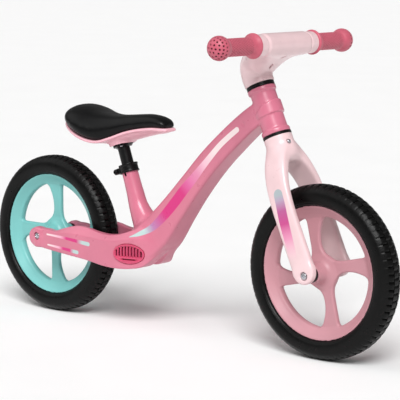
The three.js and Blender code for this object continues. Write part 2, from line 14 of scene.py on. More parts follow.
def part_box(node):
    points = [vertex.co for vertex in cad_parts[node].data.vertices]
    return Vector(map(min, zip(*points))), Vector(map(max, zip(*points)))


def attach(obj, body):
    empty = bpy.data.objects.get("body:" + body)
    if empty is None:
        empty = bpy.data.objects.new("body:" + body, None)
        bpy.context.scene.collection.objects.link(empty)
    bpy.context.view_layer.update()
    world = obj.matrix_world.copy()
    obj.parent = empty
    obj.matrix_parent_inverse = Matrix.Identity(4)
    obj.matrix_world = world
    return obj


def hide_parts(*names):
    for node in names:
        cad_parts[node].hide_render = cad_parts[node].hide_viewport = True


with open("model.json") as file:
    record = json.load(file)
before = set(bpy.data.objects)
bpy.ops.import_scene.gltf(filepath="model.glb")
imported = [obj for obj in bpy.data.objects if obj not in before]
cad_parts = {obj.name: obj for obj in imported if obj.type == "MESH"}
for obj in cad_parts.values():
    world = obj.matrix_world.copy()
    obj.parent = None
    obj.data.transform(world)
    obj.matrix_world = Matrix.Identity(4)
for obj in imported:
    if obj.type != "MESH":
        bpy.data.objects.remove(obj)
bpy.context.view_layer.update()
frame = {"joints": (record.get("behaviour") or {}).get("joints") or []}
MM = 0.001
TURN = 2 * math.pi


# ---- the frame

def middle(node):
    low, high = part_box(node)
    return (Vector(low) + Vector(high)) / (2 * MM)


def tilt_of(joint_name):
    axis = next(joint["axis"] for joint in frame["joints"] if joint["name"] == joint_name)
    return math.atan2(-axis[0], axis[2])


FRONT_AXLE = middle("front_rim")
REAR_AXLE = middle("rear_rim")
HEAD_TILT = tilt_of("steering_turn")
SEAT_TILT = tilt_of("seat_height")
SEAT_CLAMP = Vector((-123, 0, 274))
STEERING = Matrix.Translation(FRONT_AXLE) @ Matrix.Rotation(-HEAD_TILT, 4, "Y")
SEAT = Matrix.Translation(SEAT_CLAMP) @ Matrix.Rotation(-SEAT_TILT, 4, "Y")
AT_FRONT_AXLE = Matrix.Translation(FRONT_AXLE)
AT_REAR_AXLE = Matrix.Translation(REAR_AXLE)
ALONG_Y = Matrix.Rotation(-math.pi / 2, 4, "X")
FLAT_ON_SIDE = Matrix.Rotation(math.pi / 2, 4, "X")
FACING_AHEAD = Matrix.Rotation(math.pi / 2, 4, "Y")
UPSIDE_DOWN = Matrix.Rotation(math.pi, 4, "X")
HERE = Matrix.Identity(4)
SIDES = (("right", UPSIDE_DOWN), ("left", HERE))

# How a mesh is shaded: edges sharper than this many degrees stay crisp.
CRISP_FROM = 35
SOFT_CRISP_FROM = 60

# Wheel.
TYRE_RADIUS = 145
RIM_EDGE = 111.1
RIM_HALF = 17
CHANNEL = 103
CHANNEL_HALF = 11
HUB_HALF = 29.9
SPOKE_STRAIGHT = 13.5
SPOKE_FLARE = 22
WINDOW_RADIUS = 92.5
BEARING_RADIUS = 11
BEARING_BORE = 4.3
BEARING_WIDE = 7
FRONT_SPIN = math.radians(13.3)

# Blades, axles and bolts.
BLADE_Y = 46.75
BLADE_THICK = 14.5
BLADE_OUTER = BLADE_Y + BLADE_THICK / 2
BLADE_INNER = BLADE_Y - BLADE_THICK / 2
AXLE_RADIUS = 4
AXLE_HALF = 50.6
SPACER_RADIUS = 13
BOLT_HEAD_RADIUS = 6
BOLT_HEAD_TALL = 3.6
BOLT_RECESS_RADIUS = 7
BOLT_RECESS_DEEP = 3
CLEAR = 0.4  # play round a tube in its hole

# Steering column, by height along the steering axis from the axle.
CROWN_TOP = 235.7
LOWER_RING = (236, 240)
UPPER_RING = (322, 328)
HEAD_LOW = 240.3
HEAD_HIGH = 321.7
STEERER_RADIUS = 12.7
STEERER_LOW = 192
STEERER_TOP = 352
HEAD_LIP_RADIUS = 24.3
HEAD_TUBE_RADIUS = 21.7
HEAD_BEARING_RADIUS = 19
HEAD_BAND_RADIUS = 23.7
HEAD_BAND = ((273.4, 0.054), (285.3, 0.4))  # each edge's height, and its slope forwards
BAR = Vector((71.6, 0, 371.8))
BAR_RADIUS = 11.1
BAR_HALF = 147
ALONG_BAR = Matrix.Translation(BAR) @ ALONG_Y
STEM_HALF = 75
STEM_GROOVE = 57
BALL_RADIUS = 20
BALL_LONG = 18.3
BALL_Y = 162
GRIP_START = STEM_HALF + 0.3
GRIP_RADIUS = 14.7
GRIP_SIDES = 192
DIMPLES_FROM = STEM_HALF + 17
DIMPLES_TO = BALL_Y - 16.5
DIMPLES_ROUND = 24
DIMPLE_PITCH = 3.6
DIMPLE_RADIUS = 1.4
DIMPLE_DEEP = 1.1
HOLE_RADIUS = 1.75
HOLE_DEEP = 3.5

# Seat post, by height along its axis from the clamp.
POST_RADIUS = 11
POST_LOW = -75
POST_HIGH = 51.7
FLANGE_RADIUS = 18
COLLAR_LOW = -1
COLLAR_HIGH = 14.5
COLLAR_MIDDLE = (COLLAR_LOW + COLLAR_HIGH) / 2
COLLAR_RADIUS = 17.6
SEAT_TUBE_TOP = 12

# Grille in the frame's wall: the oval recess that it sits in.
VENT_WIDE = 61.8
VENT_TALL = 34.8
VENT_DEEP = 2.8
VENT_GAP = 1.4  # how much smaller than its recess the grille is


# ---- plain shapes

def curve(points, count):
    """Points along a smooth curve through the given rows, evenly spread by row."""
    rows = np.array(points, float)
    padded = np.vstack([2 * rows[0] - rows[1], rows, 2 * rows[-1] - rows[-2]])
    place = np.linspace(0, len(rows) - 1, count)
    start = np.minimum(place.astype(int), len(rows) - 2)
    t = (place - start)[:, None]
    a, b, c, d = (padded[start + k] for k in range(4))
    return 0.5 * (2 * b + (c - a) * t + (2 * a - 5 * b + 4 * c - d) * t ** 2
                  + (3 * b - a - 3 * c + d) * t ** 3)


def skin(rings, closed=True):
    """Faces over a stack of equal rings, with a fan over each end."""
    rings = np.array(rings, float)
    layers, sides, _ = rings.shape
    points = rings.reshape(-1, 3)
    a = np.arange(layers - 1)[:, None] * sides + np.arange(sides)
    b = np.arange(layers - 1)[:, None] * sides + (np.arange(sides) + 1) % sides
    faces = np.stack([a, b, b + sides, a + sides], -1).reshape(-1, 4).tolist()
    if closed:
        last = (layers - 1) * sides
        points = np.vstack([points, rings[0].mean(0), rings[-1].mean(0)])
        for i in range(sides):
            j = (i + 1) % sides
            faces.append([len(points) - 2, j, i])
            faces.append([len(points) - 1, last + i, last + j])
    return points, faces


def shift(x, y, z):
    return Matrix.Translation((x, y, z))


def through(matrix, points):
    matrix = np.array(matrix)
    return points @ matrix[:3, :3].T + matrix[:3, 3]


def moved(shape, matrix):
    points, faces = shape
    return through(matrix, points), faces


def mirrored(shape):
    points, faces = shape
    return points * [1, -1, 1], [face[::-1] for face in faces]


def oval(wide, tall, squareness=2.0, sides=48):
    """A closed outline: squareness 2 is an ellipse, and higher is boxier."""
    turn = (np.arange(sides) + 0.5) * TURN / sides
    x, y = np.cos(turn), np.sin(turn)
    return np.stack([wide / 2 * np.sign(x) * abs(x) ** (2 / squareness),
                     tall / 2 * np.sign(y) * abs(y) ** (2 / squareness)], -1)


def loft(stations, hint, squareness=2.0, steps=60, core=0.0):
    """Skin through stations [x, y, z, wide, tall], the width lying along `hint`.
    `core` takes that much off all round, for a rounding that puts it back."""
    rows = curve(stations, steps)
    along = np.gradient(rows[:, :3], axis=0)
    along /= np.linalg.norm(along, axis=1)[:, None]
    across = np.array(hint, float) - along * (along @ np.array(hint, float))[:, None]
    across /= np.linalg.norm(across, axis=1)[:, None]
    up = np.cross(along, across)
    rings = []
    for row, sideways, upward in zip(rows, across, up):
        outline = oval(row[3] - 2 * core, row[4] - 2 * core, squareness)
        rings.append(row[:3] + outline[:, :1] * sideways + outline[:, 1:] * upward)
    return skin(rings)


def rounded(outline, radius):
    """Take the corners off a closed outline, except those on the axis."""
    steps = 5
    result = []
    for i, corner in enumerate(outline):
        here = Vector(corner)
        before = Vector(outline[i - 1]) - here
        after = Vector(outline[(i + 1) % len(outline)]) - here
        if here.x < 0.01:
            result.append(here)
            continue
        start = here + before.normalized() * min(radius, before.length * 0.45)
        end = here + after.normalized() * min(radius, after.length * 0.45)
        for k in range(steps + 1):
            t = k / steps
            result.append(start * (1 - t) ** 2 + here * 2 * t * (1 - t) + end * t ** 2)
    return [(point.x, point.y) for point in result]


def turned(outline, sides=96):
    """Revolve a closed outline of (radius, height) about Z."""
    turn = np.arange(sides) * TURN / sides
    count = len(outline)
    rings = [[(r * math.cos(t), r * math.sin(t), h) for r, h in outline] for t in turn]
    points = np.array(rings).reshape(-1, 3)
    a = np.arange(sides)[:, None] * count + np.arange(count)
    b = np.arange(sides)[:, None] * count + (np.arange(count) + 1) % count
    step = ((np.arange(sides) + 1) % sides - np.arange(sides))[:, None] * count
    faces = np.stack([a, a + step, b + step, b], -1).reshape(-1, 4).tolist()
    return points, faces


def pipe(inner, outer, low, high):
    """The half section of a straight tube, or of a bar where `inner` is 0."""
    return [(inner, low), (outer, low), (outer, high), (inner, high)]


def both_ends(half):
    """A whole outline from its upper half, which runs from the middle outwards."""
    return [(r, -h) for r, h in half[::-1]] + half


def rod(radius, low, high, sides=64):
    turn = np.arange(sides) * TURN / sides
    circle = np.stack([radius * np.cos(turn), radius * np.sin(turn)], -1)
    return skin([np.column_stack([circle, np.full(sides, z)]) for z in (low, high)])


def slab(outline, thick):
    """A prism standing on an outline in XY, centred on its own mid plane."""
    outline = np.array(outline, float)
    heights = (-thick / 2, thick / 2)
    return skin([np.column_stack([outline, np.full(len(outline), z)]) for z in heights])


def block(size, centre):
    x, y, z = np.array(size) / 2
    outline = [(-x, -y), (x, -y), (x, y), (-x, y)]
    return moved(slab(outline, 2 * z), shift(*centre))


# ---- castings

class Casting:
    """A distance field on a grid. Shapes are blended into it and cut out of it,
    and it is skinned once, so that every join has its own fillet. `reach` is how
    far from a shape its distance is known."""

    def __init__(self, low, high, voxel, reach=20.0):
        self.voxel = voxel
        self.reach = reach
        self.low = np.floor(np.array(low) / voxel).astype(int)
        self.high = np.ceil(np.array(high) / voxel).astype(int)
        self.field = np.full(self.high - self.low, reach, np.float32)
        self.spacing = vdb.createLinearTransform(voxelSize=voxel)

    def distance(self, shape, rounding):
        """The part of the grid near a shape, and each point's distance from it."""
        points, faces = shape
        triangles, quads = (
            np.array([face for face in faces if len(face) == corners], np.uint32).reshape(-1, corners)
            for corners in (3, 4))
        band = self.reach / self.voxel
        grid = vdb.FloatGrid.createLevelSetFromPolygons(
            points.astype(np.float32), triangles=triangles, quads=quads,
            transform=self.spacing, exBandWidth=band, inBandWidth=band)
        margin = int(band) + 2
        low = np.maximum(np.floor(points.min(0) / self.voxel).astype(int) - margin, self.low)
        high = np.minimum(np.ceil(points.max(0) / self.voxel).astype(int) + margin, self.high)
        values = np.empty(high - low, np.float32)
        grid.copyToArray(values, ijk=tuple(int(k) for k in low))
        window = tuple(slice(a, b) for a, b in zip(low - self.low, high - self.low))
        return window, values - rounding

    def add(self, shape, blend=0.5, rounding=0.0):
        window, other = self.distance(shape, rounding)
        mine = self.field[window]
        mix = np.clip(0.5 + 0.5 * (mine - other) / blend, 0, 1)
        self.field[window] = mine * (1 - mix) + other * mix - blend * mix * (1 - mix)

    def cut(self, shape, blend=0.5, rounding=0.0):
        window, other = self.distance(shape, rounding)
        mine = self.field[window]
        mix = np.clip(0.5 + 0.5 * (mine + other) / blend, 0, 1)
        self.field[window] = mine * mix - other * (1 - mix) + blend * mix * (1 - mix)

    def add_both(self, shape, blend=0.5, rounding=0.0):
        self.add(shape, blend, rounding)
        self.add(mirrored(shape), blend, rounding)

    def cut_both(self, shape, blend=0.5, rounding=0.0):
        self.cut(shape, blend, rounding)
        self.cut(mirrored(shape), blend, rounding)

    def shape(self):
        grid = vdb.FloatGrid(self.reach)
        grid.transform = self.spacing
        grid.copyFromArray(self.field, ijk=tuple(int(k) for k in self.low))
        points, quads = grid.convertToQuads(0)
        return points.astype(float), quads[:, ::-1].tolist()


# ---- looks

def srgb(code, alpha=1.0):
    """A colour written as the usual six hex digits, in linear light."""
    parts = [int(code[i:i + 2], 16) / 255 for i in (0, 2, 4)]
    linear = [p / 12.92 if p < 0.04045 else ((p + 0.055) / 1.055) ** 2.4 for p in parts]
    return linear + [alpha]


def tinted(colour, factor):
    return [min(part * factor, 1) for part in colour[:3]] + [1]


class Look:
    """A material on one Principled shader, with the few nodes that all looks share."""

    def __init__(self, name, **sockets):
        self.material = bpy.data.materials.new(name)
        self.material.use_nodes = True
        self.tree = self.material.node_tree
        self.shader = self.tree.nodes["Principled BSDF"]
        self.place = self.node("ShaderNodeTexCoord").outputs["Object"]
        for socket, value in sockets.items():
            self.give(self.shader.inputs[socket.replace("_", " ")], value)

    def give(self, socket, value):
        if isinstance(value, bpy.types.NodeSocket):
            self.tree.links.new(value, socket)
        else:
            socket.default_value = value

    def node(self, kind, **inputs):
        node = self.tree.nodes.new(kind)
        for name, value in inputs.items():
            self.give(node.inputs[name.replace("_", " ")], value)
        return node

    def stretched(self, factors):
        return self.node("ShaderNodeMapping", Vector=self.place, Scale=factors).outputs[0]

    def noise(self, scale, detail=3.0, place=None):
        node = self.node("ShaderNodeTexNoise", Vector=place or self.place, Scale=scale, Detail=detail)
        return node.outputs["Fac"]

    def cells(self, scale):
        node = self.node("ShaderNodeTexVoronoi", Vector=self.place, Scale=scale)
        return node.outputs["Distance"]

    def attribute(self, name, output="Fac"):
        node = self.node("ShaderNodeAttribute")
        node.attribute_name = name
        return node.outputs[output]

    def remap(self, value, low, high, start=0.0, end=1.0):
        node = self.node("ShaderNodeMapRange", Value=value, From_Min=low, From_Max=high,
                         To_Min=start, To_Max=end)
        return node.outputs[0]

    def times(self, a, b):
        node = self.tree.nodes.new("ShaderNodeMath")
        node.operation = "MULTIPLY"
        self.give(node.inputs[0], a)
        self.give(node.inputs[1], b)
        return node.outputs[0]

    def mix(self, factor, a, b):
        node = self.tree.nodes.new("ShaderNodeMix")
        node.data_type = "RGBA"
        for index, value in ((0, factor), (6, a), (7, b)):
            self.give(node.inputs[index], value)
        return node.outputs[2]

    def edges(self, low=0.53, high=0.62):
        """1 along sharp outer edges, broken up by noise, and 0 elsewhere."""
        pointed = self.remap(self.node("ShaderNodeNewGeometry").outputs["Pointiness"], low, high)
        return self.times(pointed, self.remap(self.noise(140), 0.4, 0.65))

    def rubbed(self, share, paint, colour):
        """The paint, mixed with another colour along its worn edges."""
        return self.mix(self.times(self.edges(), share), paint, colour)

    def colour(self, value):
        self.give(self.shader.inputs["Base Color"], value)

    def roughness(self, low, high, pattern, start=0.3, end=0.7):
        """Roughness from low to high, as a pattern goes from start to end."""
        self.give(self.shader.inputs["Roughness"], self.remap(pattern, start, end, low, high))

    def bump(self, height, depth, under=None):
        """Raise the surface by `depth` millimetres where the height is 1."""
        node = self.node("ShaderNodeBump", Height=height, Distance=depth * MM)
        if under:
            self.give(node.inputs["Normal"], under)
        self.give(self.shader.inputs["Normal"], node.outputs[0])
        return node.outputs[0]

    def drifting(self, colour, spread=0.05, scale=22):
        """The colour with slow, faint changes from place to place."""
        return self.mix(self.remap(self.noise(scale, 4), 0.3, 0.7),
                        tinted(colour, 1 - spread), tinted(colour, 1 + spread))


def powder_coat(name, colour):
    """Satin paint: fine orange peel, faint clouding, paler rubbed edges, and the
    stripes that are stored on the piece."""
    look = Look(name, Coat_Weight=0.3, Coat_Roughness=0.2)
    paint = look.rubbed(0.35, look.drifting(colour), tinted(colour, 1.35))
    cover = look.remap(look.attribute("stripe_cover"), -0.3, 0.3)
    cover = look.times(cover, look.attribute("stripe_ink", "Alpha"))
    look.colour(look.mix(cover, paint, look.attribute("stripe_ink", "Color")))
    look.roughness(0.26, 0.36, look.noise(60, 5), 0.25, 0.75)
    peel = look.bump(look.noise(420, 2), 0.05)
    look.bump(look.noise(1900, 1), 0.012, under=peel)
    return look.material


def moulded(name, colour, rough=0.42):
    """Moulded plastic: fine even texture with slight flow marks and scuffs."""
    look = Look(name)
    look.colour(look.rubbed(0.3, look.drifting(colour, 0.04, 16), tinted(colour, 1.3)))
    look.roughness(rough - 0.06, rough + 0.08, look.noise(35, 6))
    grain = look.bump(look.cells(1500), 0.02)
    look.bump(look.noise(90, 2), 0.06, under=grain)
    return look.material


def rubber(name, colour):
    """Grip rubber: dusty grain, with painted shade down in its moulded hollows."""
    look = Look(name, Sheen_Weight=0.12, Sheen_Roughness=0.5)
    paint = look.drifting(colour, 0.08, 40)
    dust = look.remap(look.noise(260, 6), 0.55, 0.8, 0, 0.25)
    dusty = look.mix(dust, paint, tinted(colour, 1.6))
    # Painted shade: the rubber darkens to near black down in its dimples and ball holes.
    look.colour(look.mix(look.attribute("hollow_shade"), dusty, tinted(colour, 0.12)))
    look.roughness(0.4, 0.56, look.noise(120, 5))
    look.bump(look.noise(1400, 4), 0.06)
    return look.material


def tyre_foam(name):
    """Closed-cell foam with a moulded skin: pores, and dust on worn knobs."""
    black = srgb("050505")
    look = Look(name, Specular_IOR_Level=0.16)
    worn = look.times(look.edges(0.5, 0.6), look.remap(look.noise(90, 5), 0.3, 0.7))
    paint = look.mix(look.noise(45, 6), black, srgb("0a0a0a"))
    look.colour(look.mix(look.times(worn, 0.5), paint, srgb("2b2a29")))
    look.roughness(0.26, 0.42, look.noise(150, 5))
    pores = look.bump(look.cells(900), 0.09)
    look.bump(look.noise(300, 4), 0.1, under=pores)
    return look.material


def saddle_cover(name):
    """Black synthetic leather: a fine pebble grain under soft wide creases."""
    look = Look(name, Specular_IOR_Level=0.2)
    black = srgb("070708")
    look.colour(look.mix(look.noise(120, 5), tinted(black, 0.8), tinted(black, 1.3)))
    look.roughness(0.3, 0.4, look.noise(50, 4))
    pebble = look.bump(look.cells(1100), 0.07)
    look.bump(look.noise(180, 5), 0.12, under=pebble)
    return look.material


def black_coat(name, rough):
    """Black paint or plastic, greyer where its edges are rubbed."""
    look = Look(name, Specular_IOR_Level=0.25)
    look.colour(look.rubbed(0.5, look.drifting(srgb("060607"), 0.15, 60), srgb("3a3a3d")))
    look.roughness(rough - 0.06, rough + 0.1, look.noise(140, 5))
    look.bump(look.noise(1100, 3), 0.03)
    return look.material


def brushed_steel(name, colour):
    """Bright plated steel with fine turned lines that run across the bike."""
    look = Look(name, Metallic=1.0)
    lines = look.noise(160, 6, look.stretched((1, 8, 1)))
    look.colour(look.mix(lines, tinted(colour, 0.82), tinted(colour, 1.1)))
    look.roughness(0.2, 0.36, lines)
    look.bump(lines, 0.012)
    return look.material


LOOKS = {
    "frame_pink": powder_coat("frame_pink", srgb("cc7289")),
    "pale_pink": powder_coat("pale_pink", srgb("e7c8cb")),
    "saddle_pink": moulded("saddle_pink", srgb("ecb3bf"), 0.32),
    "dusty_pink": moulded("dusty_pink", srgb("c08a93")),
    "teal": moulded("teal", srgb("76bcb9")),
    "vent_pink": moulded("vent_pink", srgb("cd4a6d"), 0.38),
    "grip_rubber": rubber("grip_rubber", srgb("c0566a")),
    "tyre_foam": tyre_foam("tyre_foam"),
    "saddle_cover": saddle_cover("saddle_cover"),
    "black_plastic": black_coat("black_plastic", 0.3),
    "black_metal": black_coat("black_metal", 0.34),
    "steel": brushed_steel("steel", srgb("bdbdc2")),
}


# ---- pieces

def make(name, shape, slot, body, node, place=HERE, crisp_from=CRISP_FROM):
    """Turn a shape into an object that rides on a body, and hide the CAD node in its place.
    Its material is the one that is kept under the slot's name."""
    points, faces = moved(shape, place)
    mesh = bpy.data.meshes.new(name)
    mesh.from_pydata((points * MM).tolist(), [], faces)
    tidy = bmesh.new()
    tidy.from_mesh(mesh)
    bmesh.ops.remove_doubles(tidy, verts=tidy.verts, dist=1e-6)
    bmesh.ops.recalc_face_normals(tidy, faces=tidy.faces)
    tidy.to_mesh(mesh)
    tidy.free()
    mesh.shade_smooth()
    mesh.set_sharp_from_angle(angle=math.radians(crisp_from))
    mesh.materials.append(LOOKS[slot])
    piece = placed(name, mesh)
    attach(piece, body)
    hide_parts(node)
    return piece


def placed(name, data):
    thing = bpy.data.objects.new(name, data)
    bpy.context.scene.collection.objects.link(thing)
    return thing


def make_casting(name, shape, slot, body, node, place=HERE):
    """A painted casting, its skin relaxed a little so that its blends shine evenly."""
    piece = make(name, shape, slot, body, node, place, SOFT_CRISP_FROM)
    apply_modifier(piece, "SMOOTH", factor=0.5, iterations=5)
    return piece


def apply_modifier(piece, kind, **settings):
    modifier = piece.modifiers.new(kind, kind)
    for name, value in settings.items():
        setattr(modifier, name, value)
    shown = piece.evaluated_get(bpy.context.evaluated_depsgraph_get())
    mesh = bpy.data.meshes.new_from_object(shown)
    piece.modifiers.remove(modifier)
    old = piece.data
    piece.data = mesh
    bpy.data.meshes.remove(old)


def points_of(piece, place=HERE):
    """A piece's points in millimetres, in the frame it was drawn in."""
    points = np.empty(len(piece.data.vertices) * 3, np.float32)
    piece.data.vertices.foreach_get("co", points)
    return through(place.inverted(), points.reshape(-1, 3) / MM)


def store(piece, name, kind, values):
    """Keep a value for each point of a piece, for its material to read."""
    layer = piece.data.attributes.new(name, kind, "POINT")
    field = "color" if kind == "FLOAT_COLOR" else "value"
    layer.data.foreach_set(field, values.astype(np.float32).ravel())


# ---- stripes

WHITE_INK = srgb("efdcdc")
PALE_INK = srgb("edbccb")
MAGENTA_INK = srgb("cf2277")
LILAC_INK = srgb("b578aa")
MINT_INK = srgb("b3cac8")
# Dark colour painted into the grilles' recesses: painted shade for their depth, not the frame's own paint.
RECESS_PAINTED_SHADE = srgb("7d1c3e")
UNPAINTED = -5.0


def stripe_values(flat, route, inks):
    """How far each point is inside a stripe, in millimetres, and its ink there.
    The route holds [across, up, half width], and the inks [share, colour]."""
    rows = curve(route, 120)
    share = np.linspace(0, 1, len(rows))
    best = np.full(len(flat), -1e3)
    along = np.zeros(len(flat))
    for i in range(len(rows) - 1):
        start, step = rows[i, :2], rows[i + 1, :2] - rows[i, :2]
        t = np.clip(((flat - start) @ step) / (step @ step), 0, 1)
        gap = np.linalg.norm(flat - start - t[:, None] * step, axis=1)
        inside = rows[i, 2] * (1 - t) + rows[i + 1, 2] * t - gap
        closer = inside > best
        best[closer] = inside[closer]
        along[closer] = (share[i] * (1 - t) + share[i + 1] * t)[closer]
    stops = [stop for stop, _ in inks]
    colours = np.array([colour for _, colour in inks])
    return best, np.stack([np.interp(along, stops, colours[:, k]) for k in range(4)], -1)


def paint_stripes(piece, points, outside, stripes, shade_patches=()):
    """Store stripes on a piece's points, seen from its side, for its paint to read.
    Patches of painted shade are given as [which points, colour], and lie over the stripes."""
    flat = points[:, [0, 2]]
    cover = np.full(len(flat), UNPAINTED)
    ink = np.zeros((len(flat), 4))
    for route, inks in stripes:
        inside, colour = stripe_values(flat, route, inks)
        inside = np.where(outside, inside, UNPAINTED)
        best = inside > cover
        cover[best] = inside[best]
        ink[best] = colour[best]
    # Each patch is painted shade, laid over the paint and the stripes.
    for where, colour in shade_patches:
        cover[where] = 1
        ink[where] = colour
    store(piece, "stripe_cover", "FLOAT", cover)
    store(piece, "stripe_ink", "FLOAT_COLOR", ink)


# ---- frame

def on_seat_axis(height, ahead=0):
    return list(SEAT @ Vector((ahead, 0, height)))


def stay(rounding):
    """One side of the frame: a wall beside the foot rest that narrows to a blade.
    Rows are [x, inner, outer, low, crease, top, lean]; above the crease the
    outer face leans in by `lean` to the top."""
    rows = curve([
        [-34, 4, 16, 144, 150, 154, 2], [-58, 8, 37.6, 116, 162, 176, 6],
        [-84, 16, 44.6, 108.5, 161, 176, 9], [-112, 24, 51.5, 107, 156.5, 167.5, 9],
        [-140, 29, 54, 108.5, 155, 164.2, 9.5], [-166, 32.5, 54, 112, 156, 166.5, 9.5],
        [-186, 34.3, 54, 114.5, 157, 170.7, 9.5], [-207, 35.7, 54, 116.3, 157.5, 172.6, 9.5],
        [-226, 36.8, 54, 117.8, 157.3, 170.2, 8.5], [-246, 38.2, 54, 119.6, 156.5, 164.6, 6],
        [-266, 39, 54, 121.4, 155.8, 158.5, 3], [-284, 39.4, 54, 123.2, 157, 160.5, 2.5],
        [-310, 39.5, 54, 126, 156, 160, 2]], 80)
    rings = []
    for x, inner, outer, low, crease, top, lean in rows:
        inner, outer, low, top = inner + rounding, outer - rounding, low + rounding, top - rounding
        rings.append([[x, -inner, low], [x, -outer, low], [x, -outer, crease],
                      [x, -outer + lean, top], [x, -inner, top]])
    return skin(rings)


def vent_place():
    """The grille's own plane, x along the wall and z out of it, on the right."""
    return shift(-85, -44.8, 135.5) @ Matrix.Rotation(math.radians(15), 4, "Z") @ FLAT_ON_SIDE


def head_band():
    """Wrap round the head tube, deeper in front than behind."""
    turn = np.arange(64) * TURN / 64
    x, y = HEAD_BAND_RADIUS * np.cos(turn), HEAD_BAND_RADIUS * np.sin(turn)
    return skin([np.column_stack([x, y, height + slope * x]) for height, slope in HEAD_BAND])


def main_tube(rounding):
    """The boxy tube from the head tube down to the deck, and the deck itself."""
    return loft([
        [196, 0, 407.5, 40, 36], [160, 0, 383, 43, 38], [118.7, 0, 349, 45, 40], [76, 0, 310, 45, 42],
        [32, 0, 262, 46, 45], [-7.5, 0, 216, 50, 52], [-46, 0, 172, 58, 62], [-78, 0, 146, 72, 56],
        [-115, 0, 133, 84, 44], [-152, 0, 132, 84, 42]],
        (0, 1, 0), squareness=14, steps=90, core=rounding)


def seat_tube():
    """The tube round the seat post, which spreads where it meets the deck."""
    return loft([
        on_seat_axis(SEAT_TUBE_TOP) + [28, 28], on_seat_axis(-15) + [28.5, 28.5],
        on_seat_axis(-40) + [30, 30.5], on_seat_axis(-65) + [33, 35],
        on_seat_axis(-95, 6) + [42, 46], on_seat_axis(-128, 16) + [52, 60]],
        (0, 1, 0), squareness=2.2)


def head_tube():
    lip, tube = HEAD_LIP_RADIUS, HEAD_TUBE_RADIUS
    return turned([
        (0, HEAD_LOW), (lip, HEAD_LOW), (lip, HEAD_LOW + 7), (tube, HEAD_LOW + 9),
        (tube, HEAD_HIGH - 9), (lip, HEAD_HIGH - 7), (lip, HEAD_HIGH), (0, HEAD_HIGH)])


def blade_end(radius, rounding):
    half = BLADE_THICK / 2 - rounding
    return rod(radius, -half, half)


def bore_for_axle(casting, axle):
    """The hole for an axle, and the recesses that its bolt heads sit in."""
    casting.cut(moved(rod(AXLE_RADIUS + 0.5, -80, 80), axle))
    recess = rod(BOLT_RECESS_RADIUS, -80, BOLT_RECESS_DEEP - BLADE_OUTER)
    casting.cut_both(moved(recess, axle), blend=0.8)


def bore_head_and_seat(casting):
    """The steerer's hole with its two bearing seats, and the post's hole and slit."""
    seat = HEAD_BEARING_RADIUS + 0.2
    for low, high, radius in ((200, 400, 15), (200, HEAD_LOW + 8, seat), (HEAD_HIGH - 8, 400, seat)):
        casting.cut(moved(rod(radius, low, high), STEERING))
    casting.cut(moved(rod(POST_RADIUS + CLEAR, -98, 40), SEAT), blend=1)
    casting.cut(moved(block((4, 20, 20), (0, -12, SEAT_TUBE_TOP - 9)), SEAT), blend=1)


def frame_shape():
    rounding = 2.4
    wall = 2
    axle = AT_REAR_AXLE @ ALONG_Y
    casting = Casting((-337, -62, 98), (240, 62, 456), 1.05, reach=16)
    casting.add(main_tube(rounding), rounding=rounding)
    casting.add_both(stay(wall), blend=8, rounding=wall)
    casting.add(seat_tube(), blend=13)
    casting.add(moved(head_tube(), STEERING), blend=3)
    casting.add(moved(head_band(), STEERING), blend=1.5, rounding=1)
    round_dish = shift(155, -21.5, 379) @ ALONG_Y
    casting.cut_both(moved(rod(3.2, -5, 0.8), round_dish))
    stay_end = shift(REAR_AXLE.x - 4, -BLADE_Y, 143) @ ALONG_Y
    casting.add_both(moved(blade_end(15, wall), stay_end), blend=8, rounding=wall)
    wheel_room = rod(152, -30.5, 30.5, 128)
    casting.cut(moved(wheel_room, axle), blend=3)
    bore_for_axle(casting, axle)
    bore_head_and_seat(casting)
    recess = slab(oval(VENT_WIDE, VENT_TALL, sides=96), 20)
    casting.cut_both(moved(recess, vent_place() @ shift(0, 0, 10 - VENT_DEEP)), blend=1.5)
    return casting.shape()


MAIN_STRIPE = [
    [142, 369, 4.6], [124, 355.5, 4.8], [105, 340, 5], [86, 321, 5.4], [66, 300, 6.4], [46, 278.5, 8],
    [26, 258, 9.2], [6, 235, 9.5], [-18, 209, 8.6], [-42, 187, 6.6], [-64, 174, 4.4], [-86, 165.5, 0.6]]
MAIN_INKS = [
    [0, WHITE_INK], [0.24, WHITE_INK], [0.34, PALE_INK], [0.42, srgb("e58fb6", 0.7)],
    [0.5, srgb("d95f9e", 0.9)], [0.57, MAGENTA_INK], [0.72, MAGENTA_INK], [0.82, LILAC_INK],
    [0.89, MINT_INK], [1, MINT_INK]]
UPPER_STRIPE = [[-281, 151, 1.4], [-247, 149.5, 2.2], [-212, 147, 3], [-176, 144, 3.6]]
LOWER_STRIPE = [[-279, 132, 1.4], [-252, 130, 2.2], [-226, 128, 2.9], [-204, 126, 3.4]]
STAY_INKS = [
    [0, WHITE_INK], [0.34, srgb("eba9c0")], [0.48, MAGENTA_INK], [0.72, MAGENTA_INK],
    [0.86, MINT_INK], [1, MINT_INK]]


def vent_recesses(points):
    """Which points line the recesses of the two grilles, which get painted shade."""
    lining = np.zeros(len(points), bool)
    for side in (1, -1):
        x, y, out = through(vent_place().inverted(), points * [1, side, 1]).T
        within = np.hypot(x / (VENT_WIDE / 2), y / (VENT_TALL / 2)) < 0.99
        lining |= within & (abs(out) < 9) & (out < -1)
    return lining


def add_frame():
    piece = make_casting("frame_casting", frame_shape(), "frame_pink", "frame_body", "frame")
    points = points_of(piece)
    stripes = [(MAIN_STRIPE, MAIN_INKS), (UPPER_STRIPE, STAY_INKS), (LOWER_STRIPE, STAY_INKS)]
    # The recess linings are painted dark as painted shade for their depth.
    paint_stripes(piece, points, abs(points[:, 1]) > 14, stripes, [(vent_recesses(points), RECESS_PAINTED_SHADE)])


